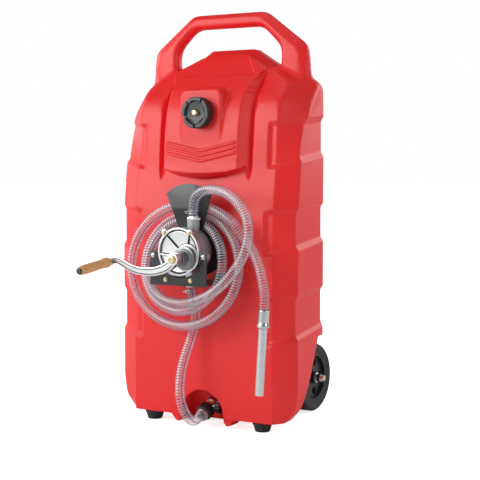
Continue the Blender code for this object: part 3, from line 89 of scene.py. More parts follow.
def set_camera():
    """The photograph's view."""
    lens = bpy.data.cameras.new("view")
    lens.lens = camera_lens
    lens.sensor_width = camera_sensor
    scene.camera = stood("view", lens, view_azimuth, view_pitch, view_distance)


def set_lamps():
    """Soft studio light from all sides, strongest from the front left."""
    for name, azimuth, elevation, distance, width, height, power in softboxes:
        lamp = bpy.data.lights.new(name, "AREA")
        lamp.shape = "RECTANGLE"
        lamp.size, lamp.size_y, lamp.energy = width, height, power
        stood(name, lamp, azimuth, elevation, distance)


# ---------------------------------------------------------------- shader nodes

def joined(operation, reflected=False):
    """An operator that joins two values by a Math node."""
    return lambda self, other: self.maths(operation, *((other, self) if reflected else (self, other)))


class Value:
    """A socket in a node tree; Python's operators add its Math nodes."""

    __add__ = __radd__ = joined("ADD")
    __mul__ = __rmul__ = joined("MULTIPLY")
    __sub__, __rsub__ = joined("SUBTRACT"), joined("SUBTRACT", True)
    __truediv__, __rtruediv__ = joined("DIVIDE"), joined("DIVIDE", True)
    __pow__ = joined("POWER")
    __gt__ = joined("GREATER_THAN")
    __lt__ = joined("LESS_THAN")

    def __init__(self, nodes, socket):
        self.nodes = nodes
        self.socket = socket

    def maths(self, operation, *terms):
        return self.nodes.node("ShaderNodeMath", {"operation": operation}, dict(enumerate(terms)))

    def held(self, low, high):
        return self.maths("MINIMUM", self.maths("MAXIMUM", self, low), high)


class Nodes:
    """The node tree of a world or a material."""

    def __init__(self, owner):
        owner.use_nodes = True
        self.tree = owner.node_tree

    def feed(self, socket, value):
        """Link a value to a socket, or set it."""
        if isinstance(value, Value):
            self.tree.links.new(value.socket, socket)
        else:
            socket.default_value = value

    def node(self, kind, settings=None, sockets=None, output=0):
        """A node of any kind; settings are set before its sockets are filled."""
        made = self.tree.nodes.new(kind)
        for key, value in (settings or {}).items():
            setattr(made, key, value)
        for key, value in (sockets or {}).items():
            self.feed(made.inputs[key], value)
        return Value(self, made.outputs[output])

    def parts(self, vector):
        """The three numbers of a vector."""
        outputs = self.node("ShaderNodeSeparateXYZ", None, {0: vector}).socket.node.outputs
        return [Value(self, outputs[index]) for index in range(3)]

    def toward(self, vector, way):
        """How far a vector points along a way."""
        return self.node("ShaderNodeVectorMath", {"operation": "DOT_PRODUCT"}, {0: vector, 1: way}, "Value")

    def ramp(self, value, low, high, start, end):
        """A value that runs from start to end while another runs from low to high."""
        return self.node("ShaderNodeMapRange", None, dict(enumerate((value, low, high, start, end))))


class Finish(Nodes):
    """One material, with the nodes behind its shader and the record's slot that it stands for."""

    def __init__(self, name, slot, colour, roughness, metallic=0.0, **fixed):
        self.name = name
        self.slot = slot
        self.material = bpy.data.materials.new(name)
        super().__init__(self.material)
        self.shader = self.tree.nodes["Principled BSDF"]
        self.set(base_color=(*colour, 1.0), roughness=roughness, metallic=metallic, **fixed)
        self.place = self.node("ShaderNodeTexCoord", output="Object")

    def set(self, **sockets):
        """Fill the shader's sockets, named in lower case with underscores."""
        for key, value in sockets.items():
            self.feed(self.shader.inputs[key.replace("_", " ").title().replace("Ior", "IOR")], value)
        return self

    def noise(self, scale, detail=2.0, roughness=0.5, stretch=None):
        """Noise over the piece, in lumps of 1/scale metres."""
        place = self.place
        if stretch:
            place = self.node("ShaderNodeMapping", None, {"Vector": place, "Scale": stretch})
        return self.node("ShaderNodeTexNoise", None, {"Vector": place, "Scale": scale, "Detail": detail,
                                                      "Roughness": roughness})

    def mix(self, share, first, second):
        """A colour between two colours."""
        first, second = (colour if isinstance(colour, Value) else (*colour, 1.0) for colour in (first, second))
        return self.node("ShaderNodeMix", {"data_type": "RGBA"}, {0: share, 6: first, 7: second}, 2)

    def bump(self, height, strength, distance):
        """A fine relief from a height."""
        return self.node("ShaderNodeBump", None, {"Strength": strength, "Distance": distance, "Height": height})


# What gloss finds in the room: a bright wall front left, a pale one behind, and dusk elsewhere
gloss_dusk = 0.05
gloss_wall = 0.75
gloss_back = 0.50
wall_way = (-0.643, -0.766, 0.0)
sky_light = 0.30
sky_seen = 1.0


def set_world():
    """A room that is white to the eye, bright in parts to gloss and dim on what is matte."""
    scene.world = bpy.data.worlds.new("room")
    room = Nodes(scene.world)
    seen, through, gloss = (room.node("ShaderNodeLightPath", output="Is %s Ray" % kind)
                            for kind in ("Camera", "Transmission", "Glossy"))
    way = room.node("ShaderNodeTexCoord", output="Generated")
    _, rear, height = room.parts(way)
    wall = (room.ramp(room.toward(way, wall_way), 0.25, 0.75, 0.0, gloss_wall)
            * room.ramp(height, 0.38, 0.72, 1.0, 0.0))
    behind = room.ramp(rear, 0.35, 0.80, 0.0, gloss_back) * room.ramp(height, 0.35, 0.75, 1.0, 0.1)
    shiny = room.node("ShaderNodeMix", None, {0: gloss, 2: sky_light, 3: wall + behind + gloss_dusk})
    light = room.node("ShaderNodeMix", None, {0: seen.maths("MAXIMUM", seen, through), 2: shiny, 3: sky_seen})
    back = room.tree.nodes["Background"]
    back.inputs["Color"].default_value = (1.0, 1.0, 1.0, 1.0)
    room.feed(back.inputs["Strength"], light)


# ---------------------------------------------------------------- finishes

wire_pitch = 0.0060


def grained(name, slot, colour, roughness, metallic, noises, tones, first, second, roughs, least, bump=None, **fixed):
    """A finish whose tone, roughness and relief are weighted sums of a few noises.

    noises are (scale, detail, roughness, stretch); tones weigh them between the first and second colour, roughs
    above the least roughness, and bump is (weights, strength, distance).
    """
    made = Finish(name, slot, colour, roughness, metallic, **fixed)
    layers = [made.noise(*noise) for noise in noises]

    def total(weights):
        terms = [layer if weight == 1 else layer * weight for layer, weight in zip(layers, weights) if weight]
        return sum(terms[1:], terms[0])

    made.set(base_color=made.mix(total(tones), first, second), roughness=total(roughs) + least)
    return made.set(normal=made.bump(total(bump[0]), *bump[1:])) if bump else made


def rubber(name, tone):
    """Matte rubber with a dusting of bloom."""
    return grained(name, name, (tone, tone, tone), 0.75, 0.0, ((45.0, 4.0), (1300.0, 2.0)), (0.7, 0.2),
                   (tone, tone, tone), (tone * 2.6, tone * 2.6, tone * 2.7), (0, 0.15), 0.62, ((0, 1), 0.3, 0.0004))


def red_plastic():
    """Rotationally moulded polyethylene: a fine grain and faint cloudiness."""
    made = Finish("red_plastic", "red_plastic", (0.74, 0.022, 0.024), 0.42, specular_ior_level=0.58)
    cloud = made.noise(9.0, 3.0)
    grain = made.noise(620.0, 2.0, 0.6)
    tone = cloud.held(0.3, 0.7) * 0.5 + grain * 0.22
    return made.set(base_color=made.mix(tone, (0.95, 0.014, 0.016), (0.78, 0.009, 0.011)),
                    roughness=cloud * 0.06 + grain * 0.12 + 0.34, normal=made.bump(grain, 0.30, 0.0007))


def sheet_coat_painted_shade():
    """The hanger plate's dark coat, with painted shade: near-black below its fold and to the right of the hose, paler
    above the fold where light falls.
    """
    made = Finish("sheet_coat_painted_shade", "black_sheet", (0.06, 0.06, 0.062), 0.42)
    across, _, height = made.parts(made.place)
    peel = made.noise(420.0, 2.0)
    # Painted shade: the coat stays pale only above the fold and left of the hose, and is near-black in the hose's
    # shadow beyond it
    rise = ((height - 0.489) / 0.004).held(0.0, 1.0) * ((0.026 - across) / 0.016).held(0.0, 1.0)
    tone = made.mix(rise, (0.010, 0.010, 0.011), (0.115, 0.118, 0.120))
    return made.set(base_color=made.mix(peel * 0.25, tone, (0.03, 0.03, 0.032)), roughness=peel * 0.15 + 0.34,
                    normal=made.bump(peel, 0.12, 0.0005))


def cast_rough_painted_shade():
    """Sand-cast alloy: coarse, with painted shade that darkens it towards the rear, apart from near its top."""
    made = Finish("cast_rough_painted_shade", "cast_silver", (0.42, 0.43, 0.44), 0.5, 0.45)
    _, depth, height = made.parts(made.place)
    sand = made.noise(1100.0, 3.0, 0.7)
    blotch = made.noise(140.0, 3.0)
    # Painted shade: the tone falls to dark grey towards the tank behind, but not near the top
    rear = ((depth - datum.y + 0.258) / 0.045).held(0.0, 1.0) * ((0.462 - height) / 0.014).held(0.0, 1.0)
    tone = made.mix(rear, (0.60, 0.61, 0.62), (0.15, 0.15, 0.155))
    return made.set(base_color=made.mix(sand * 0.35 + blotch * 0.25, tone, (0.13, 0.13, 0.135)),
                    roughness=sand * 0.2 + 0.36, normal=made.bump(sand, 0.5, 0.0006))


def beech_wood():
    """Lacquered beech: long grain along the grip, with short dark flecks."""
    made = Finish("beech_wood", "pale_wood", (0.62, 0.34, 0.13), 0.45, coat_weight=0.3, coat_roughness=0.25)
    grain = made.noise(520.0, 4.0, 0.6, (1.0, 0.06, 1.0))
    band = made.noise(90.0, 2.0, 0.5, (1.0, 0.12, 1.0))
    fleck = made.noise(1500.0, 1.0, 0.5, (1.0, 0.10, 1.0)) > 0.66
    warm = made.mix(band, (0.90, 0.58, 0.24), (0.72, 0.39, 0.14))
    return made.set(base_color=made.mix(grain * 0.45 + fleck * 0.25, warm, (0.50, 0.24, 0.075)),
                    roughness=grain * 0.2 + 0.32, normal=made.bump(grain, 0.2, 0.0004))


def clear_hose():
    """Clear soft PVC, a little violet and milky at its edges, with blue marking lines along it and a painted
    highlight.
    """
    made = Finish("clear_hose", "clear_hose", (0.80, 0.80, 0.88), 0.10, ior=1.5, specular_ior_level=0.35)
    around, along, _ = made.parts(made.node("ShaderNodeUVMap", {"uv_map": "along"}))
    line = (around * 2.0).maths("FRACT", around * 2.0) - 0.5
    stripe = line.maths("ABSOLUTE", line) < 0.024
    wave = ((along * (1.0 / wire_pitch) - around) * math.tau + math.pi / 2)
    ribs = wave.maths("SINE", wave) * 0.5 + 0.5
    # Painted highlight: where the surface faces forward and a little up it turns whiter and more opaque, in dashes
    # that follow the wire
    faced = made.toward(made.node("ShaderNodeTexCoord", output="Normal"), (-0.10, -0.93, 0.35))
    painted_highlight = ((faced - 0.915) / 0.07).held(0.0, 1.0)
    rim = (made.node("ShaderNodeLayerWeight", None, {"Blend": 0.5}, "Facing") * 1.15) ** 3.0
    film = made.mix(rim.held(0.0, 1.0), (0.93, 0.92, 0.95), (0.34, 0.29, 0.50))
    return made.set(
        base_color=made.mix(stripe, film, (0.02, 0.02, 0.30)),
        alpha=(rim * 0.50 + 0.05 + painted_highlight * ((ribs > 0.45) * 0.88 + 0.04) + stripe * 0.75).held(0.0, 0.96),
        roughness=made.noise(160.0) * 0.10 + 0.05, normal=made.bump(ribs, 1.0, 0.0009))


def floor_white():
    """Pale studio floor that keeps the caddy's shadow; to the camera it also glows, from 0.74 near the caddy to 1.1
    far off: painted light that whitens it into the backdrop.
    """
    made = Finish("floor_white", None, (0.90, 0.90, 0.90), 0.9, specular_ior_level=0.0)
    seen = made.node("ShaderNodeLightPath", output="Is Camera Ray")
    across, depth, _ = made.parts(made.place)
    far = (((across ** 2.0 + depth ** 2.0) ** 0.5 - 0.35) / 0.60).held(0.0, 1.0)
    glow = made.mix(far, (0.74, 0.74, 0.74), (1.1, 1.1, 1.1))
    return made.set(emission_color=made.mix(seen, (0.0, 0.0, 0.0), glow), emission_strength=1.0)


finishes = {made.name: made for made in (
    red_plastic(), sheet_coat_painted_shade(), cast_rough_painted_shade(), beech_wood(), clear_hose(), floor_white(),
    rubber("black_rubber", 0.014), rubber("tyre_rubber", 0.020),
    # Satin injection-moulded plastic with a fine spark texture
    grained("black_plastic", "black_plastic", (0.018, 0.018, 0.02), 0.42, 0.0, ((1500.0, 2.0),), (1,),
            (0.012, 0.012, 0.013), (0.032, 0.033, 0.036), (0.2,), 0.30, ((1,), 0.15, 0.0003)),
    # Moulded nylon, a shade greyer, with a silky grain
    grained("cap_black", "black_plastic", (0.030, 0.031, 0.033), 0.38, 0.0, ((900.0, 2.0), (60.0, 2.0)), (0.6, 0.4),
            (0.018, 0.019, 0.020), (0.052, 0.055, 0.057), (0.16, 0), 0.28, ((1, 0), 0.18, 0.0003)),
    # Dark powder coat on sheet steel
    grained("black_coat", "black_sheet", (0.035, 0.037, 0.04), 0.4, 0.0, ((420.0, 2.0), (2200.0, 1.0)), (0.5, 0.5),
            (0.028, 0.030, 0.033), (0.055, 0.058, 0.063), (0.15, 0), 0.30, ((1, 0.4), 0.12, 0.0005)),
    # Near-black and barely glossy, a darker and duller copy of the black coat: painted shade on the drum inside the
    # hose's coil and on the dark lines of the cover and crank arm
    grained("drum_black_painted_shade", "black_sheet", (0.006, 0.006, 0.007), 0.8, 0.0, ((160.0, 3.0),), (1,),
            (0.004, 0.004, 0.005), (0.012, 0.012, 0.013), (0.1,), 0.72, specular_ior_level=0.15),
    # Die-cast alloy, tumbled: a fine sandy surface with cloudy gloss
    grained("cast_silver", "cast_silver", (0.60, 0.62, 0.64), 0.38, 1.0, ((70.0, 3.0), (1700.0, 2.0, 0.7)),
            (0.5, 0.3), (0.86, 0.875, 0.88), (0.60, 0.615, 0.63), (0.14, 0.10), 0.24, ((0, 1), 0.24, 0.0004)),
    # The nose's alloy as a darker, duller copy of the cover's cast finish: painted shade
    grained("nose_cast_painted_shade", "cast_silver", (0.26, 0.27, 0.28), 0.42, 0.9, ((150.0, 3.0), (1700.0, 2.0, 0.7)),
            (0.6, 0.3), (0.36, 0.37, 0.38), (0.15, 0.155, 0.165), (0.15, 0), 0.32, ((0, 1), 0.24, 0.0004)),
    # Oiled dark steel
    grained("dark_steel", "bright_steel", (0.08, 0.085, 0.095), 0.35, 0.8, ((220.0, 3.0),), (1,),
            (0.05, 0.055, 0.062), (0.14, 0.145, 0.155), (0.2,), 0.25),
    # Drawn steel tube, satin, with lines along it
    grained("drawn_tube", "bright_steel", (0.60, 0.61, 0.62), 0.30, 1.0,
            ((700.0, 3.0, 0.5, (1.0, 1.0, 0.02)), (50.0, 3.0)), (0.5, 0.3), (0.86, 0.87, 0.88), (0.53, 0.54, 0.55),
            (0.10, 0.08), 0.20),
    # Zinc-bright steel with faint drawing lines
    grained("bright_steel", "bright_steel", (0.74, 0.75, 0.77), 0.24, 1.0,
            ((60.0, 3.0), (900.0, 2.0, 0.5, (1.0, 1.0, 0.05))), (0.5, 0.3), (0.80, 0.81, 0.83), (0.60, 0.61, 0.63),
            (0.10, 0.10), 0.14),
    # Machined brass, slightly dulled
    grained("yellow_brass", "yellow_brass", (0.78, 0.58, 0.24), 0.26, 1.0, ((180.0, 3.0), (1500.0, 2.0)), (1, 0),
            (0.94, 0.82, 0.54), (0.68, 0.52, 0.24), (0.16, 0.08), 0.16),
    # The pale wire helix inside the hose's wall
    grained("hose_wire", "bright_steel", (0.66, 0.62, 0.68), 0.3, 0.35, ((240.0,),), (1,), (0.90, 0.87, 0.90),
            (0.44, 0.36, 0.44), (0.2,), 0.2))}


# ---------------------------------------------------------------- shapes

smooth_angle = math.radians(38.0)
bevel_angle = math.radians(40.0)
weld = 0.000002
forward = Matrix.Rotation(math.pi / 2, 4, "X")
rightward = Matrix.Rotation(math.pi / 2, 4, "Y")


def at(x, y, z):
    """Matrix of a place given in the tank's own datum."""
    return Matrix.Translation(datum + Vector((x, y, z)))


def filled(bm, mesh=None):
    """A mesh with a bmesh put into it; the bmesh is gone then."""
    if mesh is None:
        mesh = bpy.data.meshes.new("shape")
    bm.to_mesh(mesh)
    bm.free()
    return mesh


def closed(bm):
    """A mesh from a bmesh, its doubles merged and its faces pointing out."""
    bmesh.ops.remove_doubles(bm, verts=bm.verts, dist=weld)
    bmesh.ops.recalc_face_normals(bm, faces=bm.faces)
    return filled(bm)


def skinned(bm, rows):
    """Faces between rows of corners; each row closes on itself."""
    faces = []
    for low, high in zip(rows, rows[1:]):
        for corners in zip(low, low[1:] + low[:1], high[1:] + high[:1], high):
            unique = list(dict.fromkeys(corners))
            if len(unique) > 2:
                faces.append(bm.faces.new(unique))
    return faces


def spread(low, high, steps):
    """Even steps from one number to another."""
    return [low + (high - low) * step / steps for step in range(steps + 1)]


def arc(centre, radius, start, end, steps):
    """Points on an arc, angles in degrees."""
    turns = [math.radians(turn) for turn in spread(start, end, steps)]
    return [(centre[0] + radius * math.cos(turn), centre[1] + radius * math.sin(turn)) for turn in turns]


def circle(radius, sides):
    """Points round the origin."""
    return arc((0.0, 0.0), radius, 0.0, 360.0, sides)[:-1]


def upright(outline, y):
    """An outline of (x, z) points stood at one depth."""
    return [(x, y, z) for x, z in outline]


def slab(inner, outer, low, high):
    """The profile of a plain disc or ring."""
    return [(inner, low), (outer, low), (outer, high), (inner, high)]


def turned(profile, sides=64):
    """A solid turned about Z from (radius, height) points; it closes on the axis or on itself."""
    bm = bmesh.new()
    rows = []
    for radius, height in profile:
        if radius > 0.0:
            rows.append([bm.verts.new((x, y, height)) for x, y in circle(radius, sides)])
        else:
            rows.append([bm.verts.new((0.0, 0.0, height))] * sides)
    skinned(bm, rows + rows[:1] if profile[0][0] > 0.0 else rows)
    return closed(bm)


def eased(profile, radius, steps=3):
    """A turned profile with its corners rounded, apart from its ends on the axis."""
    loop = profile[0][0] > 0.0
    made = []
    count = len(profile)
    for spot, point in enumerate(profile):
        here = Vector(point)
        if not loop and spot in (0, count - 1):
            made.append(point)
            continue
        before = Vector(profile[spot - 1]) - here
        after = Vector(profile[(spot + 1) % count]) - here
        cut = min(radius, before.length * 0.45, after.length * 0.45)
        start = here + before.normalized() * cut
        end = here + after.normalized() * cut
        for step in range(steps + 1):
            share = step / steps
            made.append(tuple(start * (1 - share) ** 2 + here * 2 * share * (1 - share) + end * share ** 2))
    return made


def lofted(rings, triangles=True):
    """A skin over closed rings of points, both ends capped."""
    bm = bmesh.new()
    rows = [[bm.verts.new(point) for point in ring] for ring in rings]
    bm.faces.new(rows[0])
    bm.faces.new(rows[-1])
    skinned(bm, rows)
    if triangles:
        bmesh.ops.triangulate(bm, faces=bm.faces)
    return closed(bm)


def drawn(outline, low, high):
    """A flat outline of (x, z) points drawn along Y."""
    return lofted([upright(outline, low), upright(outline, high)], False)


def placed(mesh, *matrices):
    """A mesh moved by matrices."""
    for matrix in matrices:
        mesh.transform(matrix)
    return mesh


def thing(mesh, *matrices):
    """An object for a mesh, its place put into the mesh."""
    made = bpy.data.objects.new("shape", placed(mesh, *matrices))
    scene.collection.objects.link(made)
    return made


def gathered(meshes, *matrices):
    """Several closed shells in one object."""
    bm = bmesh.new()
    for mesh in meshes:
        bm.from_mesh(mesh)
        bpy.data.meshes.remove(mesh)
    return thing(filled(bm), *matrices)


def settled(made):
    """The mesh that an object's modifiers give, with the modifiers gone."""
    bpy.context.view_layer.update()
    graph = bpy.context.evaluated_depsgraph_get()
    mesh = bpy.data.meshes.new_from_object(made.evaluated_get(graph))
    old = made.data
    made.modifiers.clear()
    made.data = mesh
    bpy.data.meshes.remove(old)
    return made


def combined(made, others, operation):
    """Cut or add other shapes, which are then deleted."""
    for other in others:
        step = made.modifiers.new(operation, "BOOLEAN")
        step.object = other
        step.operation = operation
        step.solver = "EXACT"
        step.use_self = True
    settled(made)
    for other in others:
        bpy.data.objects.remove(other, do_unlink=True)
    return made


def bevelled(node, width):
    """A copy of a CAD node's shape, its doubles merged and its sharp edges rounded."""
    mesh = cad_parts[node].data.copy()
    bm = bmesh.new()
    bm.from_mesh(mesh)
    bmesh.ops.remove_doubles(bm, verts=bm.verts, dist=weld)
    bmesh.ops.dissolve_limit(bm, angle_limit=math.radians(1.0), verts=bm.verts, edges=bm.edges)
    made = thing(filled(bm, mesh))
    step = made.modifiers.new("edge", "BEVEL")
    step.width = width
    step.segments = 2
    step.limit_method = "ANGLE"
    step.angle_limit = bevel_angle
    step.use_clamp_overlap = True
    step.harden_normals = False
    return settled(made)


def painted(made, finish):
    """A thing in one finish."""
    made.data.materials.clear()
    made.data.materials.append(finishes[finish].material)


def shown(made, name, finish, body, *nodes):
    """Name a finished piece, paint it, and hang it on its body in place of CAD nodes."""
    made.name = name
    made.data.name = name
    painted(made, finish)
    made.data.shade_smooth()
    made.data.set_sharp_from_angle(angle=smooth_angle)
    if nodes:
        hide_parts(*nodes)
    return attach(made, body)


def round_piece(profile, radius, sides, place, *says):
    """A turned piece with its corners rounded, shown in its place."""
    return shown(thing(turned(eased(profile, radius), sides), place), *says)


def read(shares, share):
    """A smooth curve through a table of (share, share) pairs."""
    share = min(max(share, shares[0][0]), shares[-1][0])
    spot = max(index for index, (start, _) in enumerate(shares[:-1]) if start <= share)
    slopes = [(b[1] - a[1]) / (b[0] - a[0]) for a, b in zip(shares, shares[1:])]
    ends = []
    for index in (spot, spot + 1):
        before = slopes[max(index - 1, 0)]
        after = slopes[min(index, len(slopes) - 1)]
        ends.append(0.0 if before * after <= 0.0 else 2 * before * after / (before + after))
    (start, low), (end, high) = shares[spot], shares[spot + 1]
    run = end - start
    t = (share - start) / run
    return ((2 * t ** 3 - 3 * t ** 2 + 1) * low + (t ** 3 - 2 * t ** 2 + t) * run * ends[0]
            + (3 * t ** 2 - 2 * t ** 3) * high + (t ** 3 - t ** 2) * run * ends[1])


def mirrored(half):
    """A closed outline from its half at x >= 0; its points on x = 0 stay single."""
    return half + [(-x, z) for x, z in reversed(half) if x > 0.0]


# ---------------------------------------------------------------- tank

tank_half_width = 0.2300
front_half_width = 0.180
pocket_half_width = 0.158
pocket_slope = 0.007
side_rear_half_width = 0.212
rear_corner_half_width = 0.128
rear_half_width = 0.100
front_y = -0.166
side_front_y = -0.141
side_rear_y = 0.014
rear_corner_y = 0.165
rear_y = 0.195
tank_bottom = 0.022
tuck_height = 0.078
bottom_tuck = 0.034
lean_start_z = 0.480
crown_z = 0.802
crown_lean = 0.126
recess_depth = 0.0065
recess_slope = 0.010
recess_bands = ((0.224, 0.308), (0.419, 0.496), (0.609, 0.689))
# How far the lower and upper edges of a band fall towards the front, for each point of the outline
low_drops = (0.030, 0.030, 0.029, 0.027, 0.013, 0.0, 0.0, 0.0, 0.0)
high_drops = (0.016, 0.016, 0.015, 0.013, 0.008, 0.0, 0.0, 0.0, 0.0)
tuck_shares = ((0.0, 1.0), (0.17, 0.60), (0.42, 0.20), (1.0, 0.0))
lean_shares = ((0.0, 0.0), (0.373, 0.11), (0.652, 0.18), (0.792, 0.30), (0.860, 0.45),
               (0.916, 0.56), (0.963, 0.66), (1.0, 0.75))
side_lean_shares = ((0.0, 0.0), (0.373, 0.111), (0.652, 0.33), (0.792, 0.62), (0.860, 0.78),
                    (0.916, 0.87), (0.963, 0.93), (1.0, 1.0))
crown_width_shares = ((0.0, 1.0), (0.860, 1.0), (0.916, 0.92), (0.963, 0.80), (1.0, 0.72))

handle_front_y = -0.057
handle_depth = 0.036
handle_chamfer_depth = 0.012
handle_side_chamfer = 0.018
handle_top_chamfer = 0.010
bar_half_width = 0.0955
handle_half_width = 0.200
handle_corner_z = 0.850
handle_foot_half_width = 0.209
handle_foot_z = 0.790
handle_root_z = 0.740
caddy_height = 0.930
opening_half_width = 0.137
opening_top_half_width = 0.0885
opening_top_z = 0.897
opening_corner_z = 0.850
opening_flare = 0.008
handle_easing = 0.013
opening_easing = 0.018

hump_top_z = 0.849
hump_top_half_width = 0.055
hump_foot_half_width = 0.130
hump_foot_z = 0.801
hump_front_y = -0.041
hump_rear_y = 0.003
hump_edge = 0.011
hump_dip = 0.0042
hump_dip_outline = ((0.101, 0.7855), (0.0505, 0.8415))
panel_half_width = 0.0955
panel_bottom_z = 0.574
panel_sag = 0.017
panel_lip_sag = 0.004
panel_lip = 0.0065
panel_lip_height = 0.034
panel_face_y = -0.172
panel_back_y = -0.100
panel_top_z = 0.778
panel_top_y = -0.112
panel_steps = 30
panel_shares = ((0.0, 0.0), (0.34, 0.05), (0.63, 0.20), (0.87, 0.57), (1.0, 1.0))
groove_shares = ((0.0, 0.04), (0.13, 0.85), (0.15, 1.0), (0.44, 1.0), (0.70, 1.0), (0.84, 0.95), (1.0, 0.30))
groove_half_width = 0.123
groove_tip_x = 0.1165
groove_tip_z = 0.540
groove_top_z = 0.790
groove_depth = 0.016
groove_steps = 24
chevron_half_width = 0.0915
chevron_drop = 0.019
chevron_height = 0.0036
chevron_half_rise = 0.0040
chevron_steps = 24
chevron_rows = (0.6355, 0.6245, 0.6130)

filler_z = 0.700
boss_half_width = 0.0535
boss_bottom_z = 0.625
boss_top_z = 0.752
boss_corner = 0.018
boss_face_y = -0.1690
neck_radius = 0.0272
neck_bore = 0.0235
neck_length = 0.014

niche_half_width = 0.056
niche_top_z = 0.082
niche_depth = 0.052
niche_steps = 20
niche_skirt_z = 0.005
niche_skirt_width = 0.030
niche_skirt_depth = 0.040
valve_tilt = math.radians(25.0)
valve_centre = Vector((0.0, -0.148, 0.033))
valve_axis = Vector((0.0, math.cos(valve_tilt), math.sin(valve_tilt)))
niche_wall = 0.036
niche_ledge_z = 0.0045
niche_ledge_half_width = 0.060
niche_ledge_depth = 0.065

well_inner_x = 0.088
well_top_z = 0.200
well_top_y = -0.012
well_bottom_y = -0.100
well_bottom_z = 0.050

overrun = 0.030
spare = 0.001
skin_voxel = 0.0020
skin_turns = 4
skin_faces = 192000
# The shoulders flow into the handle's feet: heights between which they are eased, and how often
shoulder_z = (0.700, 0.745, 0.800, 0.824)
shoulder_x = 0.118
shoulder_fade = 0.012
shoulder_turns = 160
# The handle's edges are eased above these heights
handle_soft_z = 0.862
handle_soft_x = 0.126
handle_soft_turns = 14
# Greatest height between two outlines of the tank, before it is remeshed
ring_step = 0.006
filler_place = Matrix.Translation((0.0, boss_face_y, filler_z)) @ forward


def tank_ring(height, recess=0.0, drops=None):
    """The tank's outline at a height, drawn in by a recessed band that falls towards the front."""
    share = max((height - lean_start_z) / (crown_z - lean_start_z), 0.0)
    lean = crown_lean * read(lean_shares, share)
    side_lean = crown_lean * read(side_lean_shares, share)
    width = read(crown_width_shares, share)
    tuck = bottom_tuck * read(tuck_shares, (height - tank_bottom) / tuck_height)
    half = [
        (0.0, front_y + lean),
        (pocket_half_width, front_y + lean),
        (pocket_half_width + pocket_slope, front_y + lean + recess),
        (front_half_width - recess / 2, front_y + lean + recess),
        (tank_half_width - recess - tuck, side_front_y + side_lean),
        (side_rear_half_width - recess - tuck, side_rear_y),
        (rear_corner_half_width - recess, rear_corner_y - lean),
        (rear_half_width, rear_y - lean),
        (0.0, rear_y - lean),
    ]
    fall = drops or (0.0,) * len(half)
    right = [(x * width, y, height - drop) for (x, y), drop in zip(half, fall)]
    return right + [(-x, y, z) for x, y, z in reversed(right) if x > 0.0]


def tank_rings():
    """Outlines from the bottom to the crown, with a pair at each edge of the bands and more between."""
    level = (0.0,) * len(low_drops)
    levels = []
    for share, _ in tuck_shares:
        levels.append((tank_bottom + share * tuck_height, 0.0, level))
    for low, high in recess_bands:
        levels.append((low - recess_slope / 2, 0.0, low_drops))
        levels.append((low + recess_slope / 2, recess_depth, low_drops))
        levels.append((high - recess_slope / 2, recess_depth, high_drops))
        levels.append((high + recess_slope / 2, 0.0, high_drops))
    levels.append((recess_bands[-1][1] + recess_slope * 3, 0.0, level))
    levels.append((crown_z, 0.0, level))
    rings = [tank_ring(*levels[0])]
    for (start, before, fall), (end, after, drop) in zip(levels, levels[1:]):
        steps = max(round((end - start) / ring_step), 1)
        for step in range(1, steps + 1):
            share = step / steps
            drops = [a + (b - a) * share for a, b in zip(fall, drop)]
            rings.append(tank_ring(start + (end - start) * share, before + (after - before) * share, drops))
    return rings


def handle_ring(y, side, top):
    """The handle's outline at one depth, drawn in at its sides and top."""
    half = [(0.0, caddy_height - top), (bar_half_width - top, caddy_height - top),
            (handle_half_width - side, handle_corner_z - top), (handle_foot_half_width - side, handle_foot_z),
            (handle_foot_half_width - side, handle_root_z), (0.0, handle_root_z)]
    return upright(mirrored(eased(half, handle_easing)), y)


def opening_ring(y, flare):
    """The outline of the hand opening at one depth."""
    half = [(0.0, opening_top_z + flare), (opening_top_half_width + flare, opening_top_z + flare),
            (opening_half_width + flare, opening_corner_z + flare), (opening_half_width + flare, crown_z - flare),
            (0.0, crown_z - flare)]
    return upright(mirrored(eased(half, opening_easing)), y)


def four_rings(ring, front, rear, chamfer, *insets):
    """Rings through a depth whose first and last are drawn in by the insets."""
    flat = [0.0] * len(insets)
    return [ring(front, *insets), ring(front + chamfer, *flat), ring(rear - chamfer, *flat), ring(rear, *insets)]


def panel_depth(height):
    """How far forward the panel's face lies at a height."""
    foot = panel_bottom_z - panel_sag
    share = (height - foot) / (panel_top_z - foot)
    if share <= 1.0:
        bulge = max(1.0 - (height - foot) / panel_lip_height, 0.0)
        bulge = panel_lip * bulge * bulge * (3.0 - 2.0 * bulge)
        return panel_face_y - bulge + (panel_top_y - panel_face_y) * read(panel_shares, share)
    rise = (height - panel_top_z) / (hump_top_z - panel_top_z)
    return panel_top_y + (hump_front_y - panel_top_y) * rise


def groove_ring(height, side, share):
    """Section of the groove beside the panel: a long inner flank and a short steep outer one."""
    front = tank_ring(height)[0][1]
    face = panel_depth(height) if height > panel_bottom_z else front
    outside = panel_face_y - overrun
    depth = front + groove_depth * share - face
    inner = (groove_tip_x - panel_half_width) * share
    outer = (groove_half_width - groove_tip_x) * share
    steep = groove_depth * share
    return [(side * groove_tip_x, face + depth, height),
            (side * (groove_tip_x - inner - inner / depth * (face - outside)), outside, height),
            (side * (groove_tip_x + outer + outer / steep * (front - outside)), outside, height)]


def panel_outline(inset, sag):
    """The front panel and the hump over it, as seen from the front."""
    foot_z = panel_bottom_z - sag
    sag_radius = (panel_half_width ** 2 + sag ** 2) / (2 * sag)
    reach = math.degrees(math.asin(panel_half_width / sag_radius))
    lower = arc((0.0, foot_z + sag_radius), sag_radius, -90.0, reach - 90.0, 16)
    lower[0] = (0.0, foot_z)
    return mirrored(lower + [(groove_tip_x, panel_bottom_z + panel_sag), (groove_tip_x, panel_top_z),
                             (hump_foot_half_width - inset, hump_foot_z - inset / 2),
                             (hump_top_half_width - inset / 2, hump_top_z - inset), (0.0, hump_top_z - inset)])


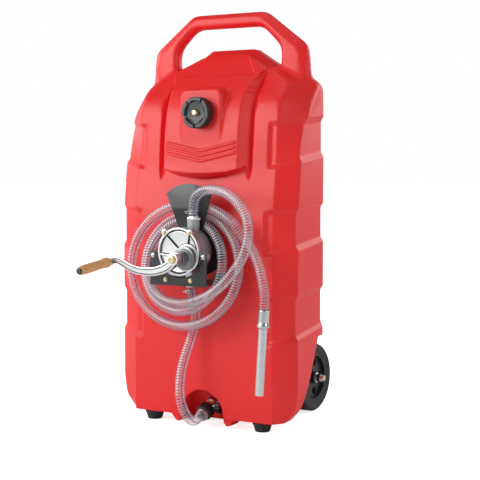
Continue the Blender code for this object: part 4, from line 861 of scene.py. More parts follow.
def make_panel():
    """The panel and hump: an outline within a side view, its upper edges chamfered."""
    panel = thing(lofted([upright(panel_outline(inset, sag), y) for y, inset, sag in (
        (panel_face_y - overrun, hump_edge, panel_lip_sag), (panel_face_y - panel_lip, hump_edge, panel_lip_sag),
        (front_y, hump_edge, panel_sag), (hump_front_y, hump_edge, panel_sag),
        (hump_front_y + hump_edge * 1.4, 0.0, panel_sag), (hump_rear_y, 0.0, panel_sag))]))
    foot_z = panel_bottom_z - panel_sag - spare
    flank = [(panel_depth(height), height) for height in spread(foot_z, hump_top_z + spare, panel_steps)]
    flank += [(hump_rear_y + spare, hump_top_z + spare), (hump_rear_y + spare, handle_root_z), (panel_back_y, foot_z)]
    side_view = lofted([[(x, y, z) for y, z in flank] for x in (-tank_half_width, tank_half_width)])
    return combined(panel, [thing(side_view)], "INTERSECT")


def make_boss():
    """The filler's boss: a level face, walls that run out into the leaning panel, and a rounded edge."""
    middle = (boss_top_z + boss_bottom_z) / 2
    reach = (boss_top_z - boss_bottom_z) / 2 - boss_corner
    rings = []
    for y, grow in ((panel_back_y, 0.010), (boss_face_y + 0.006, 0.0015), (boss_face_y + 0.0025, 0.0),
                    (boss_face_y + 0.0005, -0.002), (boss_face_y, -0.0045)):
        half = []
        for up, start in ((-1, -90.0), (1, 0.0)):
            half += arc((boss_half_width - boss_corner, middle + up * reach), boss_corner + grow,
                        start, start + 90.0, 8)
        rings.append(upright(mirrored(half), y))
    return thing(lofted(rings))


def niche_cutter():
    """The arched niche, ending at a back wall that is square to the valve."""
    half = [(0.0, niche_top_z)]
    for turn in spread(math.pi / 2, 0.0, niche_steps)[1:]:
        half.append((niche_half_width * math.cos(turn), tank_bottom + (niche_top_z - tank_bottom) * math.sin(turn)))
    arch = mirrored(half + [(niche_half_width, -overrun), (0.0, -overrun)])
    made = thing(drawn(arch, front_y - overrun, front_y + niche_depth + overrun))
    side = niche_half_width + overrun
    back = thing(drawn(slab(-side, side, -side, side), 0.0, side), Matrix.Rotation(valve_tilt, 4, "X"),
                 Matrix.Translation(valve_centre + valve_axis * niche_wall))
    return combined(made, [back], "DIFFERENCE")


def skirt(side):
    """A lobe beside the niche that hangs below the tank."""
    outline = [(niche_half_width + niche_skirt_width, tank_bottom + overrun / 10),
               (niche_half_width + niche_skirt_width / 2, niche_skirt_z + 0.002),
               (niche_half_width + niche_skirt_width / 4, niche_skirt_z),
               (niche_half_width, niche_skirt_z + (tank_bottom - niche_skirt_z) / 2),
               (niche_half_width, niche_top_z / 2), (niche_half_width + niche_skirt_width, niche_top_z / 2)]
    return thing(drawn([(side * x, z) for x, z in outline], front_y + 0.0015, front_y + niche_skirt_depth))


def shoulder_share(x, y, z):
    """How much of the shoulders' easing a point gets."""
    low, full, still, high = shoulder_z
    if y > rear_corner_y / 2:
        return 0.0
    return min((z - low) / (full - low), (high - z) / (high - still), (abs(x) - shoulder_x) / shoulder_fade)


def handle_share(x, _, z):
    """How much of the handle's easing a point gets."""
    return 1.0 if z > handle_soft_z or (z > shoulder_z[-1] and abs(x) > handle_soft_x) else 0.0


def softened(made, name, turns, share_at):
    """Smooth a thing by the share that each of its points gets."""
    group = made.vertex_groups.new(name=name)
    for vert in made.data.vertices:
        share = share_at(*vert.co)
        if share > 0.0:
            group.add([vert.index], min(share, 1.0), "REPLACE")
    flow = made.modifiers.new(name, "SMOOTH")
    flow.factor = 0.5
    flow.iterations = turns
    flow.vertex_group = name
    settled(made)


def build_chevrons():
    """Three raised V-shaped beads across the panel."""
    meshes = []
    for top in chevron_rows:
        rings = []
        for share in spread(-1.0, 1.0, 2 * chevron_steps):
            middle = top - chevron_drop * (1.0 - abs(share))
            height = chevron_height * (0.25 if abs(share) == 1.0 else 1.0)
            section = [(turn, math.sin(math.radians(turn))) for turn in range(0, 181, 20)]
            ring = []
            for turn, out in [(0, -1.0), *section, (180, -1.0)]:
                rise = middle + chevron_half_rise * math.cos(math.radians(turn))
                ring.append((chevron_half_width * share, panel_depth(rise) - height * out, rise))
            rings.append(ring)
        meshes.append(lofted(rings))
    shown(gathered(meshes, at(0.0, 0.0, 0.0)), "panel_chevrons", "red_plastic", "caddy")


def build_tank():
    """One moulded shell with its handle, panel, boss, niche and wheel recesses."""
    tank = thing(lofted(tank_rings()))
    rear = handle_front_y + handle_depth
    handle = thing(lofted(four_rings(handle_ring, handle_front_y, rear, handle_chamfer_depth,
                                     handle_side_chamfer, handle_top_chamfer)))
    opening = thing(lofted(four_rings(opening_ring, handle_front_y - spare, rear + spare, handle_chamfer_depth,
                                      opening_flare)))
    combined(handle, [opening], "DIFFERENCE")
    combined(tank, [handle], "UNION")
    combined(tank, [make_panel()], "UNION")
    dip = mirrored([(0.0, hump_dip_outline[0][1]), *hump_dip_outline, (0.0, hump_dip_outline[1][1])])
    well = [(well_bottom_y, -overrun), (well_bottom_y, well_bottom_z), (well_top_y, well_top_z),
            (rear_y + overrun, well_top_z), (rear_y + overrun, -overrun)]
    grooves, wells = [], []
    for side in (-1.0, 1.0):
        grooves.append(thing(lofted([
            groove_ring(groove_tip_z + (groove_top_z - groove_tip_z) * rise, side,
                        max(read(groove_shares, rise), groove_shares[0][1]))
            for rise in spread(0.0, 1.0, groove_steps)])))
        wells.append(thing(lofted([[(side * x, y, z) for y, z in well]
                                   for x in (well_inner_x, tank_half_width + overrun)])))
    grooves.append(thing(lofted([[(x, panel_depth(z) + reach, z) for x, z in dip] for reach in (-overrun, hump_dip)])))
    combined(tank, grooves, "DIFFERENCE")
    combined(tank, [make_boss()], "UNION")
    combined(tank, [thing(turned(slab(0.0, neck_radius, -overrun, neck_length)), filler_place)], "UNION")
    ledge = slab(-niche_ledge_half_width, niche_ledge_half_width, niche_ledge_z, niche_top_z / 2)
    ledge_y = front_y + niche_skirt_depth
    combined(tank, [skirt(-1.0), skirt(1.0), thing(drawn(ledge, ledge_y, ledge_y + niche_ledge_depth))], "UNION")
    bore = thing(turned(slab(0.0, neck_bore, -neck_length * 6, neck_length * 2)), filler_place)
    combined(tank, [niche_cutter(), *wells, bore], "DIFFERENCE")
    skin = tank.modifiers.new("skin", "REMESH")
    skin.mode = "VOXEL"
    skin.voxel_size = skin_voxel
    soft = tank.modifiers.new("soft", "SMOOTH")
    soft.factor = 0.5
    soft.iterations = skin_turns
    settled(tank)
    softened(tank, "shoulders", shoulder_turns, shoulder_share)
    softened(tank, "handle", handle_soft_turns, handle_share)
    count = len(tank.data.polygons) * 2
    if count > skin_faces:
        fewer = tank.modifiers.new("fewer", "DECIMATE")
        fewer.ratio = skin_faces / count
        settled(tank)
    tank.data.transform(Matrix.Translation(datum))
    return shown(tank, "tank_shell", "red_plastic", "caddy", "tank")


# ---------------------------------------------------------------- hoses

hose_radius = 0.011
wire_circle = 0.0092
wire_radius = 0.0007
wire_steps = 14
hose_sides = 28
coil_turns = 2.6
coil_x = -0.0120
coil_z = 0.3655
coil_drop = 0.0018
coil_lift = 0.0058
coil_start_radius = 0.0792
coil_growth = 0.0140
coil_quickening = 0.0050
coil_stretch = 1.085
coil_y = -0.1895
coil_weave = 0.0102
coil_tilt = 0.0625
coil_tilt_loss = 0.0165
outlet_x = 0.0208
inlet_x = 0.0150
port_y = -0.2305
outlet_hose_z = 0.4745
inlet_hose_z = 0.3200
coupler_start = -0.0129
coil_steps = 160
hose_step = 0.0045
spout_lean = math.radians(3.6)
spout_down = Vector((-math.sin(spout_lean), 0.0, -math.cos(spout_lean)))
lead_points = (
    (0.0208, -0.2305, 0.4968), (0.0225, -0.2308, 0.5075), (0.0305, -0.2325, 0.5195), (0.0470, -0.2360, 0.5290),
    (0.0700, -0.2405, 0.5325), (0.0940, -0.2455, 0.5310), (0.1190, -0.2510, 0.5245), (0.1460, -0.2570, 0.5075),
    (0.1700, -0.2630, 0.4805), (0.1805, -0.2680, 0.4500), (0.1780, -0.2710, 0.4190), (0.1660, -0.2730, 0.3885),
    (0.1420, -0.2720, 0.3565), (0.1100, -0.2700, 0.3270), (0.0780, -0.2670, 0.3065), (0.0440, -0.2605, 0.2935),
)
tail_points = (
    (0.1270, -0.1975, 0.4290), (0.1500, -0.1985, 0.4020), (0.1690, -0.2030, 0.3680), (0.1810, -0.2085, 0.3340),
    (0.1872, -0.2110, 0.3005),
)
suction_points = (
    (0.0150, -0.2300, 0.3010), (0.0145, -0.2215, 0.2870), (0.0125, -0.2105, 0.2745), (0.0085, -0.2030, 0.2600),
    (0.0035, -0.1975, 0.2440), (-0.0025, -0.1940, 0.2250), (-0.0080, -0.1940, 0.2060), (-0.0135, -0.1985, 0.1850),
    (-0.0180, -0.2075, 0.1600), (-0.0200, -0.2180, 0.1300), (-0.0185, -0.2265, 0.1000), (-0.0155, -0.2300, 0.0740),
    (-0.0100, -0.2255, 0.0470), (-0.0045, -0.2125, 0.0255), (-0.0010, -0.1975, 0.0158),
)


def coil_point(turns):
    """Centre line of the delivery coil, counted in turns from the bottom of the first."""
    angle = math.tau * turns
    radius = coil_start_radius + coil_growth * turns + coil_quickening * turns ** 2
    low = (1.0 + math.cos(angle)) / 2
    weave = coil_weave * math.cos(math.pi * (turns - 0.5))
    lift = coil_lift * (coil_turns - turns) * (1.0 - low)
    return Vector((coil_x - radius * coil_stretch * math.sin(angle),
                   coil_y - weave - (coil_tilt - coil_tilt_loss * turns) * low,
                   coil_z - coil_drop * turns ** 2 + lift - radius * math.cos(angle)))


def smooth_route(points, pieces):
    """Points along a smooth curve through given ones."""
    knots = [Vector(point) for point in points]
    knots = [2 * knots[0] - knots[1]] + knots + [2 * knots[-1] - knots[-2]]
    route = []
    for number in range(1, len(knots) - 2):
        a, b, c, d = knots[number - 1:number + 3]
        for step in range(pieces):
            t = step / pieces
            route.append(0.5 * (2 * b + (c - a) * t + (2 * a - 5 * b + 4 * c - d) * t ** 2
                                + (3 * b - a - 3 * c + d) * t ** 3))
    route.append(knots[-2])
    return route


def evenly(route, step):
    """A route resampled at even steps and lightly smoothed, its ends kept."""
    for _ in range(2):
        route = [route[0]] + [(a + 2 * b + c) / 4 for a, b, c in zip(route, route[1:], route[2:])] + [route[-1]]
    lengths = [0.0]
    for a, b in zip(route, route[1:]):
        lengths.append(lengths[-1] + (b - a).length)
    count = round(lengths[-1] / step)
    made = []
    spot = 0
    for number in range(count + 1):
        goal = lengths[-1] * number / count
        while spot < len(route) - 2 and lengths[spot + 1] < goal:
            spot += 1
        share = (goal - lengths[spot]) / (lengths[spot + 1] - lengths[spot])
        made.append(route[spot].lerp(route[spot + 1], share))
    return made, lengths[-1]


def frames_along(route):
    """At each point of a route its direction and two sides that don't twist about it."""
    ways = [(b - a).normalized() for a, b in zip(route, route[1:])]
    ways.append(ways[-1])
    side = ways[0].orthogonal().normalized()
    made = []
    for way in ways:
        side = (side - way * side.dot(way)).normalized()
        made.append((way, side, way.cross(side)))
    return made


def hose_tube(route):
    """The hose's skin with UVs: u around it and v along it in metres."""
    bm = bmesh.new()
    rows = [[bm.verts.new(point + side * x + up * y) for x, y in circle(hose_radius, hose_sides)]
            for point, (_, side, up) in zip(route, frames_along(route))]
    along = bm.loops.layers.uv.new("along")
    step_length = (route[1] - route[0]).length
    for number, face in enumerate(skinned(bm, rows)):
        row, step = divmod(number, hose_sides)
        for loop, (right, ahead) in zip(face.loops, ((0, 0), (1, 0), (1, 1), (0, 1))):
            loop[along].uv = ((step + right) / hose_sides, (row + ahead) * step_length)
    bm.faces.new(rows[0][::-1])
    bm.faces.new(rows[-1])
    return closed(bm)


def wire_helix(route, length):
    """The wire that winds inside the hose's wall."""
    frames = frames_along(route)
    count = int(length / wire_pitch * wire_steps)
    rings = []
    for number, place in enumerate(spread(0.0, len(route) - 1, count)):
        spot = min(int(place), len(route) - 2)
        way, side, up = frames[spot]
        turn = math.tau * number / wire_steps
        out = side * math.cos(turn) + up * math.sin(turn)
        centre = route[spot].lerp(route[spot + 1], place - spot) + out * wire_circle
        rings.append([centre + offset * wire_radius for offset in (out, way, -out, -way)])
    return lofted(rings, False)


def routes():
    """The two hoses' centre lines, in the frame's metres."""
    coil = [coil_point(turns) for turns in spread(0.0, coil_turns, coil_steps)]
    out = (coil[-1] - coil[-2]).normalized()
    into = (coil[1] - coil[0]).normalized()
    delivery = [Vector((outlet_x, port_y, outlet_hose_z))] + smooth_route(lead_points, 6)
    delivery += smooth_route([lead_points[-1], coil[0] - into * 2 * hose_radius, coil[0]], 4)[1:-1]
    delivery += coil
    tail = smooth_route([coil[-1] + out * 2 * hose_radius] + list(tail_points), 6)
    delivery += tail + [tail[-1] + spout_down * 2 * hose_radius]
    suction_end = valve_centre + valve_axis * coupler_start
    suction = [Vector((inlet_x, port_y, inlet_hose_z))] + smooth_route(suction_points, 6)
    suction += [suction_end - valve_axis * 2 * hose_radius, suction_end]
    return [[point + datum for point in route] for route in (delivery, suction)]


def build_hoses(tools):
    """Both hoses, each a clear skin over its wire; the tools it is given are not used."""
    delivery, suction = routes()
    for name, route, nodes, end, pieces in (
            ("delivery_hose", delivery, ("delivery_lead", "delivery_coil", "delivery_tail"), "tool", tools),
            ("suction_hose_clear", suction, ("suction_hose",), "object", [])):
        path, length = evenly(route, hose_step)
        skin = shown(thing(hose_tube(path)), name, "clear_hose", "caddy", *nodes)
        wire = shown(thing(wire_helix(path, length)), name + "_wire", "hose_wire", "caddy")
        print("%s is %.3f m long" % (name, length))


# ---------------------------------------------------------------- pump, crank and hanger

pump_x = 0.004
pump_z = 0.3985
housing_radius = 0.0525
housing_front_y = -0.2527
cover_base = 0.0014
cover_top = 0.0134
cover_face = 0.0104
lug_height = 0.0054
lug_radius = 0.0075
shaft_x = 0.026
shaft_z = 0.3865
bush_hole = 0.0098
rib_angles = (56.0, 131.0, 187.0, 239.0, 302.0)
raised_rib = 187.0
rib_root = 0.018
rib_width = 0.0040
rib_line = 0.0074
upper_screws = ((-0.0322, 0.440), (0.0322, 0.440))
side_screws = ((-0.0645, 0.3885), (0.0645, 0.3885))
lower_screws = ((-0.0321, 0.3367), (0.0321, 0.3367))
plate_front = 0.0085
crank_front_y = -0.322
crank_reach = 0.163
crank_sag = 0.0287
arm_shares = ((0.0, 0.0), (0.05, 0.40), (0.12, 0.66), (0.20, 0.83), (0.30, 0.96), (0.42, 1.0),
              (0.53, 0.96), (0.62, 0.86), (0.70, 0.70), (0.77, 0.51), (0.83, 0.35), (0.89, 0.25),
              (0.95, 0.27), (1.0, 0.38))
arm_steps = 64
arm_thickness = 0.007
arm_root_width = 0.0212
arm_end_width = 0.0142
arm_line_inset = 0.0032
grip_droop = math.radians(7.0)
grip_rise = 0.003
disc_y = -0.2136
drum_split = 0.024
coupler_radius = 0.0185
coupler_length = 0.022
coupler_ribs = 18
coupler_groove = 0.0016


def bar(start, end, width, low, high):
    """A straight bar seen from the front, between two (x, z) points, through a depth."""
    start = Vector(start)
    end = Vector(end)
    across = (end - start).normalized().orthogonal() * width / 2
    return drawn([tuple(start + across), tuple(end + across), tuple(end - across), tuple(start - across)], low, high)


def lug(place, low, high):
    """A round-ended lug from the pump's middle out to a screw."""
    end = Vector((place[0] - pump_x, place[1] - pump_z))
    along = end.normalized()
    heading = math.degrees(math.atan2(along.y, along.x))
    outline = arc(tuple(end), lug_radius, heading - 90.0, heading + 90.0, 14)
    side = Vector(outline[-1]) - end
    root = along * housing_radius * 0.90
    return drawn(outline + [tuple(root + side), tuple(root - side)], -high, -low)


def build_cover():
    """The pump's cover: raised rim, one raised rib on a dark line and four ribs drawn as dark bars, lugs, and the
    stepped nose round the shaft; the dark lines, bars and rings are painted shade.
    """
    place = at(pump_x, housing_front_y, pump_z)
    start = Vector((shaft_x - pump_x, shaft_z - pump_z))
    nose_at = Matrix.Translation((start.x, 0.0, start.y))
    radius = housing_radius

    def about_shaft(profile, sides=80):
        """A ring round the shaft."""
        return placed(turned(profile, sides), forward, nose_at)

    disc = thing(turned(eased([
        (0.0, cover_base), (radius, cover_base), (radius, cover_top), (radius - 0.0042, cover_top),
        (radius - 0.0052, cover_face), (radius - 0.0085, cover_face), (radius - 0.0090, cover_face + 0.0010),
        (radius - 0.0102, cover_face + 0.0010), (radius - 0.0107, cover_face), (0.0, cover_face)], 0.0006), 96),
        forward)
    combined(disc, [thing(about_shaft(slab(0.0, bush_hole, -0.01, 0.03), 48))], "DIFFERENCE")
    meshes = [disc.data.copy()]
    bpy.data.objects.remove(disc, do_unlink=True)
    # Painted shade: dark strips beside and in place of the ribs, a ring inside the rim and rings in the nose's grooves
    lines = []
    for angle in rib_angles:
        turn = math.radians(angle)
        end = Vector((math.cos(turn), math.sin(turn))) * (radius - 0.003)
        root = start + (end - start).normalized() * rib_root
        if angle == raised_rib:
            meshes.append(bar(root, end, rib_width, 0.0012 - cover_top, -cover_face + 0.001))
            lines.append(bar(root, end * 0.965, rib_line, -cover_face - 0.0004, -cover_face + 0.0006))
        else:
            lines.append(bar(root, end, rib_width, -cover_face - 0.0012, -cover_face + 0.0006))
    meshes += [lug(spot, cover_base, cover_top - 0.0004) for spot in upper_screws]
    meshes += [lug(spot, cover_base, lug_height) for spot in side_screws + lower_screws]
    nose = [(bush_hole, cover_face - 0.001), (0.0265, cover_face - 0.001), (0.0265, 0.0170), (0.0236, 0.0180),
            (0.0236, 0.0196), (0.0256, 0.0206), (0.0256, 0.0250), (0.0200, 0.0258), (0.0186, 0.0282),
            (0.0160, 0.0290)]
    for low in (0.0320, 0.0376, 0.0432):
        nose += [(0.0160, low), (0.0147, low + 0.0004), (0.0147, low + 0.0018), (0.0160, low + 0.0022)]
    nose += [(0.0160, 0.0486), (0.0150, 0.0494), (bush_hole, 0.0494)]
    shown(gathered([about_shaft(eased(nose, 0.0005))], place), "pump_cover_nose", "nose_cast_painted_shade", "caddy")
    meshes.append(about_shaft(eased([(0.0250, cover_face - 0.001), (0.0300, cover_face - 0.001), (0.0296, 0.0136),
                                     (0.0262, 0.0150), (0.0250, 0.0150)], 0.0006)))
    shown(gathered(meshes, place), "pump_cover_cast", "cast_silver", "caddy", "pump_cover")
    lines.append(placed(turned(slab(radius - 0.0076, radius - 0.0050, cover_face - 0.0006, cover_face + 0.0006), 96),
                        forward))
    lines.append(about_shaft(slab(0.0295, 0.0312, cover_face - 0.0006, cover_face + 0.0005)))
    for reach, low, high in ((0.0242, 0.0174, 0.0202), (0.0152, 0.0322, 0.0338), (0.0152, 0.0378, 0.0394),
                             (0.0152, 0.0434, 0.0450)):
        lines.append(about_shaft(slab(reach - 0.002, reach, low, high), 72))
    shown(gathered(lines, place), "pump_cover_painted_shade_lines", "drum_black_painted_shade", "caddy")


def screw_head(name, spot, base, finish):
    """A hexagonal head on its washer."""
    washer = turned(eased(slab(0.0, 0.0052, base, base + 0.0009), 0.0003), 32)
    head = turned(eased([(0.0, base + 0.0005), (0.0043, base + 0.0005), (0.0043, base + 0.0034),
                         (0.0, base + 0.0038)], 0.0008), 6)
    shown(gathered([washer, head], at(spot[0], housing_front_y, spot[1]) @ forward), name + "_head", finish, "caddy",
          name)


def arm_centre(share):
    """The crank arm's middle line, from the shaft; it stays within the arm's ends."""
    share = min(max(share, 0.0), 1.0)
    return Vector((-crank_reach * share, -crank_sag * read(arm_shares, share)))


def build_crank():
    """Swept arm with two grooves along its face lined with painted shade, hub, screw, grip boss, pin and grip."""
    axis = at(shaft_x, housing_front_y, shaft_z)
    front = housing_front_y - crank_front_y
    rings = []
    lines = ([], [])
    for share in spread(0.0, 1.0, arm_steps):
        before, middle, after = (arm_centre(share + step) for step in (-0.01, 0.0, 0.01))
        side = (after - before).normalized().orthogonal()
        half = (arm_root_width + (arm_end_width - arm_root_width) * share) / 2
        line = half - arm_line_inset * half / arm_end_width * 2
        sections = [mirrored([
            (line - 0.0010, 0.0), (line - 0.0006, 0.0011), (line + 0.0006, 0.0011), (line + 0.0010, 0.0),
            (half - 0.0016, 0.0), (half - 0.0005, 0.0005), (half, 0.0016), (half, 0.0058),
            (half - 0.0012, arm_thickness)])]
        # Painted shade: a dark strip in each of the two grooves
        for edge in (-line, line):
            sections.append([(edge - 0.0009, 0.0007), (edge + 0.0009, 0.0007), (edge + 0.0007, 0.0016),
                             (edge - 0.0007, 0.0016)])
        for row, section in zip((rings, *lines), sections):
            row.append([(middle.x + side.x * across, depth - front, middle.y + side.y * across)
                        for across, depth in section])
    end = arm_centre(1.0)
    hub = eased([(0.0063, front - 0.017), (0.0136, front - 0.017), (0.0136, front + 0.0006),
                 (0.0062, front + 0.0006), (0.0062, front - 0.0036)], 0.0008)
    boss = eased(slab(0.0, 0.0078, front - arm_thickness - 0.001, front + grip_rise), 0.0010)
    arm = gathered([lofted(rings), placed(turned(hub, 56), forward),
                    placed(turned(boss, 48), forward, Matrix.Translation((end.x, 0.0, end.y)))], axis)
    shown(arm, "crank_arm_cast", "cast_silver", "crank", "crank_arm")
    shown(gathered([lofted(row) for row in lines], axis), "crank_arm_painted_shade_lines", "drum_black_painted_shade", "crank")
    top = front + 0.0009
    round_piece([(0.0, top), (0.0092, top), (0.0092, top + 0.0009), (0.0080, top + 0.0012), (0.0074, top + 0.0040),
                 (0.0042, top + 0.0046), (0.0036, top + 0.0022), (0.0, top + 0.0022)], 0.0004, 48, axis @ forward,
                "crank_screw_head", "yellow_brass", "crank", "crank_screw")
    holder = axis @ Matrix.Translation((end.x, -front - grip_rise, end.y)) @ Matrix.Rotation(
        math.pi / 2 + grip_droop, 4, "X")
    root, start, finish = 0.0008, 0.0038, 0.1038
    round_piece([(0.0041, start), (0.0086, start), (0.0112, start + 0.002), (0.0116, start + 0.008),
                 (0.0108, start + 0.015), (0.0098, start + 0.024), (0.0100, start + 0.040), (0.0105, start + 0.060),
                 (0.0104, start + 0.078), (0.0099, start + 0.092), (0.0094, finish - 0.002), (0.0080, finish),
                 (0.0041, finish)], 0.004, 56, holder, "grip_wood", "beech_wood", "grip", "grip")
    round_piece([(0.0, root), (0.0040, root), (0.0040, finish + 0.0003), (0.0074, finish + 0.0003),
                 (0.0072, finish + 0.0022), (0.0050, finish + 0.0036), (0.0, finish + 0.0040)], 0.0005, 40, holder,
                "grip_pin_dark", "dark_steel", "crank", "grip_pin")


def build_hanger():
    """The coil's drum in near-black painted shade, its front part ribbed, and the pressed plate, its coat with painted
    shade, and bracket.
    """
    place = at(pump_x, front_y, pump_z) @ forward
    depth = front_y - disc_y - 0.0006
    rear = [(0.0470, 0.0003), (0.0560, 0.0003), (0.0560, 0.0026), (0.0515, 0.0030), (0.0515, drum_split - 0.0002),
            (0.0470, drum_split - 0.0002)]
    shown(thing(turned(rear, 96), place), "hanger_drum_rear", "drum_black_painted_shade", "caddy")
    round_piece([(0.0470, drum_split), (0.0535, drum_split), (0.0535, 0.0275), (0.0522, 0.0285), (0.0522, 0.0320),
                 (0.0528, 0.0330), (0.0528, 0.0360), (0.0520, 0.0370), (0.0520, depth), (0.0, depth),
                 (0.0, depth - 0.003), (0.0470, depth - 0.003)], 0.0006, 96, place,
                "hanger_drum_front", "drum_black_painted_shade", "caddy", "hanger_drum")
    for node, finish, width in (("hanger_plate", "sheet_coat_painted_shade", 0.0005), ("pump_bracket", "black_coat", 0.0006)):
        shown(bevelled(node, width), node + "_pressed", finish, "caddy", node)


def build_fittings():
    """The outlet's hexagonal collar, wire clamps and the hose's ferrule; the tools at the hose's end."""
    collar = eased([(0.0075, 0.4664), (0.0160, 0.4664), (0.0160, 0.4722), (0.0118, 0.4730), (0.0118, 0.4742),
                    (0.0075, 0.4742)], 0.0006)
    bolt = turned(eased(slab(0.0, 0.0032, -0.0035, 0.0035), 0.0006), 6)
    meshes = [turned(collar, 6), placed(bolt, rightward, Matrix.Translation((0.0165, -0.004, 0.4694)))]
    shown(gathered(meshes, at(outlet_x, port_y, 0.0)), "outlet_collar", "bright_steel", "caddy", "outlet_fitting")
    for name, matrix, spin in (
            ("outlet_clamp", at(outlet_x, port_y, 0.4835), -150.0),
            ("inlet_clamp", at(inlet_x, port_y, 0.3110), -120.0)):
        meshes = [turned(arc((0.0121, height), 0.0010, 0.0, 345.0, 12), 48) for height in (-0.0026, 0.0026)]
        meshes.append(placed(turned(eased(slab(0.0, 0.0030, -0.0050, 0.0050), 0.0006), 20), forward,
                             Matrix.Translation((0.0150, 0.0, 0.0)), Matrix.Rotation(math.radians(spin), 4, "Z")))
        shown(gathered(meshes, matrix), name + "_wire", "bright_steel", "caddy", name)
    tail_end = Vector(tail_points[-1]) + spout_down * 2 * hose_radius + spout_down * 0.0003
    sleeve = round_piece([(0.0, 0.0), (0.0116, 0.0), (0.0122, -0.0016), (0.0122, -0.0270), (0.0134, -0.0310),
                          (0.0140, -0.0345), (0.0138, -0.0375), (0.0112, -0.0397), (0.0, -0.0397)], 0.0012, 56,
                         Matrix.Translation(tail_end + datum) @ Matrix.Rotation(spout_lean, 4, "Y"),
                         "hose_ferrule_sleeve", "bright_steel", "caddy", "hose_ferrule")
    return [sleeve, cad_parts["spout"]]


def build_valve():
    """The ribbed coupler between the suction hose and the valve."""
    place = Matrix.Translation(valve_centre + datum) @ Matrix.Rotation(valve_tilt - math.pi / 2, 4, "X")
    rings = []
    for height, inset in ((0.0, 0.0022), (0.0018, 0.0), (coupler_length - 0.0018, 0.0), (coupler_length, 0.0022)):
        ring = []
        for step, (x, y) in enumerate(circle(1.0, coupler_ribs * 4)):
            radius = coupler_radius - inset - (coupler_groove if step % 4 > 1 else 0.0)
            ring.append((radius * x, radius * y, coupler_start + height))
        rings.append(ring)
    shown(thing(lofted(rings), place), "valve_coupler_ribbed", "black_plastic", "caddy", "valve_coupler")
    ring = [(0.0112, -0.0080), (0.0142, -0.0080), (0.0142, -0.0050), (0.0128, -0.0046), (0.0128, -0.0034),
            (0.0142, -0.0030), (0.0142, -0.0002), (0.0112, -0.0002)]
    round_piece([(radius, coupler_start + height) for radius, height in ring], 0.0005, 48, place,
                "valve_clamp_ring", "bright_steel", "caddy", "valve_clamp")


# ---------------------------------------------------------------- cap, feet and wheels

cap_radius = 0.0345
cap_lobes = 5
cap_knurls = 60
# The cap's raised bars: half their angle, steps along them, and their section's (radius, height) points
cap_bars = (
    (28.8, 16, ((cap_radius, 0.0180), (cap_radius, 0.0238), (cap_radius - 0.0012, 0.0250), (0.0270, 0.0250),
                (0.0256, 0.0238), (0.0252, 0.0190), (0.0252, 0.0180))),
    (16.0, 10, ((0.0225, 0.0180), (0.0225, 0.0200), (0.0205, 0.0204), (0.0195, 0.0180))),
)


def build_cap():
    """Screw cap: a knurled side, five raised lobes round a dished face, and the vent screw."""
    place = Matrix.Translation(datum) @ filler_place
    body = [(0.0280, 0.0003), (cap_radius - 0.0010, 0.0003), (cap_radius - 0.0006, 0.0190),
            (cap_radius - 0.0015, 0.0206), (0.0252, 0.0206), (0.0240, 0.0186), (0.0052, 0.0186), (0.0048, 0.0166),
            (0.0280, 0.0166)]
    meshes = [turned(eased(body, 0.0007), 96)]
    for number in range(cap_lobes):
        middle = 360.0 * number / cap_lobes + 90.0
        for half, steps, section in cap_bars:
            rows = [[(x, y, height) for x, y in arc((0.0, 0.0), radius, middle - half, middle + half, steps)]
                    for radius, height in section]
            meshes.append(lofted(list(zip(*rows))))
    for turn in spread(0.0, math.tau, cap_knurls)[:-1]:
        rib = drawn([(cap_radius - 0.0016, 0.0015), (cap_radius + 0.0001, 0.0022), (cap_radius + 0.0001, 0.0172),
                     (cap_radius - 0.0016, 0.0180)], -0.0007, 0.0007)
        meshes.append(placed(rib, Matrix.Rotation(turn, 4, "Z")))
    shown(gathered(meshes, place), "filler_cap_moulded", "cap_black", "cap", "filler_cap")
    round_piece([(0.0, 0.0136), (0.0044, 0.0136), (0.0044, 0.0192), (0.0076, 0.0192), (0.0076, 0.0212),
                 (0.0068, 0.0218), (0.0064, 0.0258), (0.0046, 0.0268), (0.0, 0.0270)], 0.0006, 48, place,
                "vent_screw_head", "yellow_brass", "vent", "vent_screw")


def build_feet():
    """Moulded rubber feet with a rounded sole."""
    for name in ("foot_left", "foot_right"):
        low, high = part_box(name)
        round_piece([(0.0, 0.0), (0.0160, 0.0), (0.0185, 0.0080), (0.0200, 0.0140), (0.0225, 0.0160),
                     (0.0225, high.z), (0.0, high.z)], 0.0022, 48,
                    Matrix.Translation(((low.x + high.x) / 2, (low.y + high.y) / 2, 0.0)),
                    name + "_moulded", "black_rubber", "caddy", name)


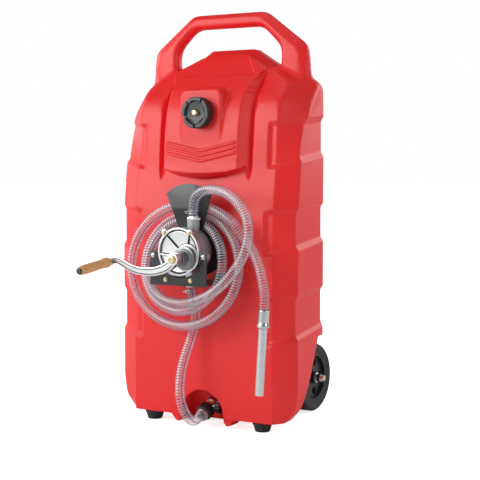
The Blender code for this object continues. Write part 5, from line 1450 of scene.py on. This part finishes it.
def build_wheels():
    """Tyres with a ribbed tread; the rims stay as the CAD has them."""
    for suffix in ("left", "right"):
        low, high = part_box("tyre_" + suffix)
        half = (high.x - low.x) / 2
        tread = [(0.0563, -half * 0.80), (0.0700, -half), (0.0745, -half), (0.0775, -half * 0.86)]
        for step in range(-2, 3):
            spot = half * 0.30 * step
            tread += [(0.0798, spot - half * 0.10), (0.0798, spot + half * 0.10), (0.0782, spot + half * 0.13),
                      (0.0782, spot + half * 0.17)]
        tread += [(0.0775, half * 0.86), (0.0745, half), (0.0700, half), (0.0563, half * 0.80)]
        shown(thing(turned(tread, 120), rightward, Matrix.Translation((low + high) / 2)), "tyre_%s_ribbed" % suffix,
              "tyre_rubber", "wheel_" + suffix, "tyre_" + suffix)


# ---------------------------------------------------------------- carried-over pieces

carried = {
    "black_rubber": ("cap_seal", "cover_gasket", "port_seal"),
    "black_plastic": ("rim_left", "rim_right", "valve_knob", "vane_1", "vane_2", "vane_3", "vane_4"),
    "cast_rough_painted_shade": ("pump_housing",),
    "drawn_tube": ("spout",),
    "bright_steel": ("axle", "axle_nut_left", "axle_nut_right", "washer_left", "washer_right", "pump_shaft", "rotor",
                     "inlet_fitting", "valve_nut", "valve_ball", "valve_stem"),
    "yellow_brass": ("shaft_bush", "valve_body"),
}


def paint_carried():
    """The CAD nodes that stay, in their finishes."""
    for finish, names in carried.items():
        for name in names:
            painted(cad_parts[name], finish)


set_camera()
set_lamps()
set_world()
build_hoses(build_fittings())
paint_carried()
build_cover()
for side, suffix in enumerate(("_left", "_right")):
    screw_head("cover_screw" + suffix, upper_screws[side], cover_top + 0.0002, "yellow_brass")
    screw_head("side_screw" + suffix, side_screws[side], plate_front, "bright_steel")
    screw_head("lower_screw" + suffix, lower_screws[side], plate_front, "yellow_brass")
build_crank()
build_hanger()
build_valve()
build_cap()
build_feet()
build_wheels()
build_tank()
build_chevrons()

floor_radius = 40.0
floor = bpy.data.objects.new("floor", bpy.data.meshes.new("floor"))
ground = bmesh.new()
bmesh.ops.create_circle(ground, cap_ends=True, segments=64, radius=floor_radius)
filled(ground, floor.data)
painted(floor, "floor_white")
scene.collection.objects.link(floor)
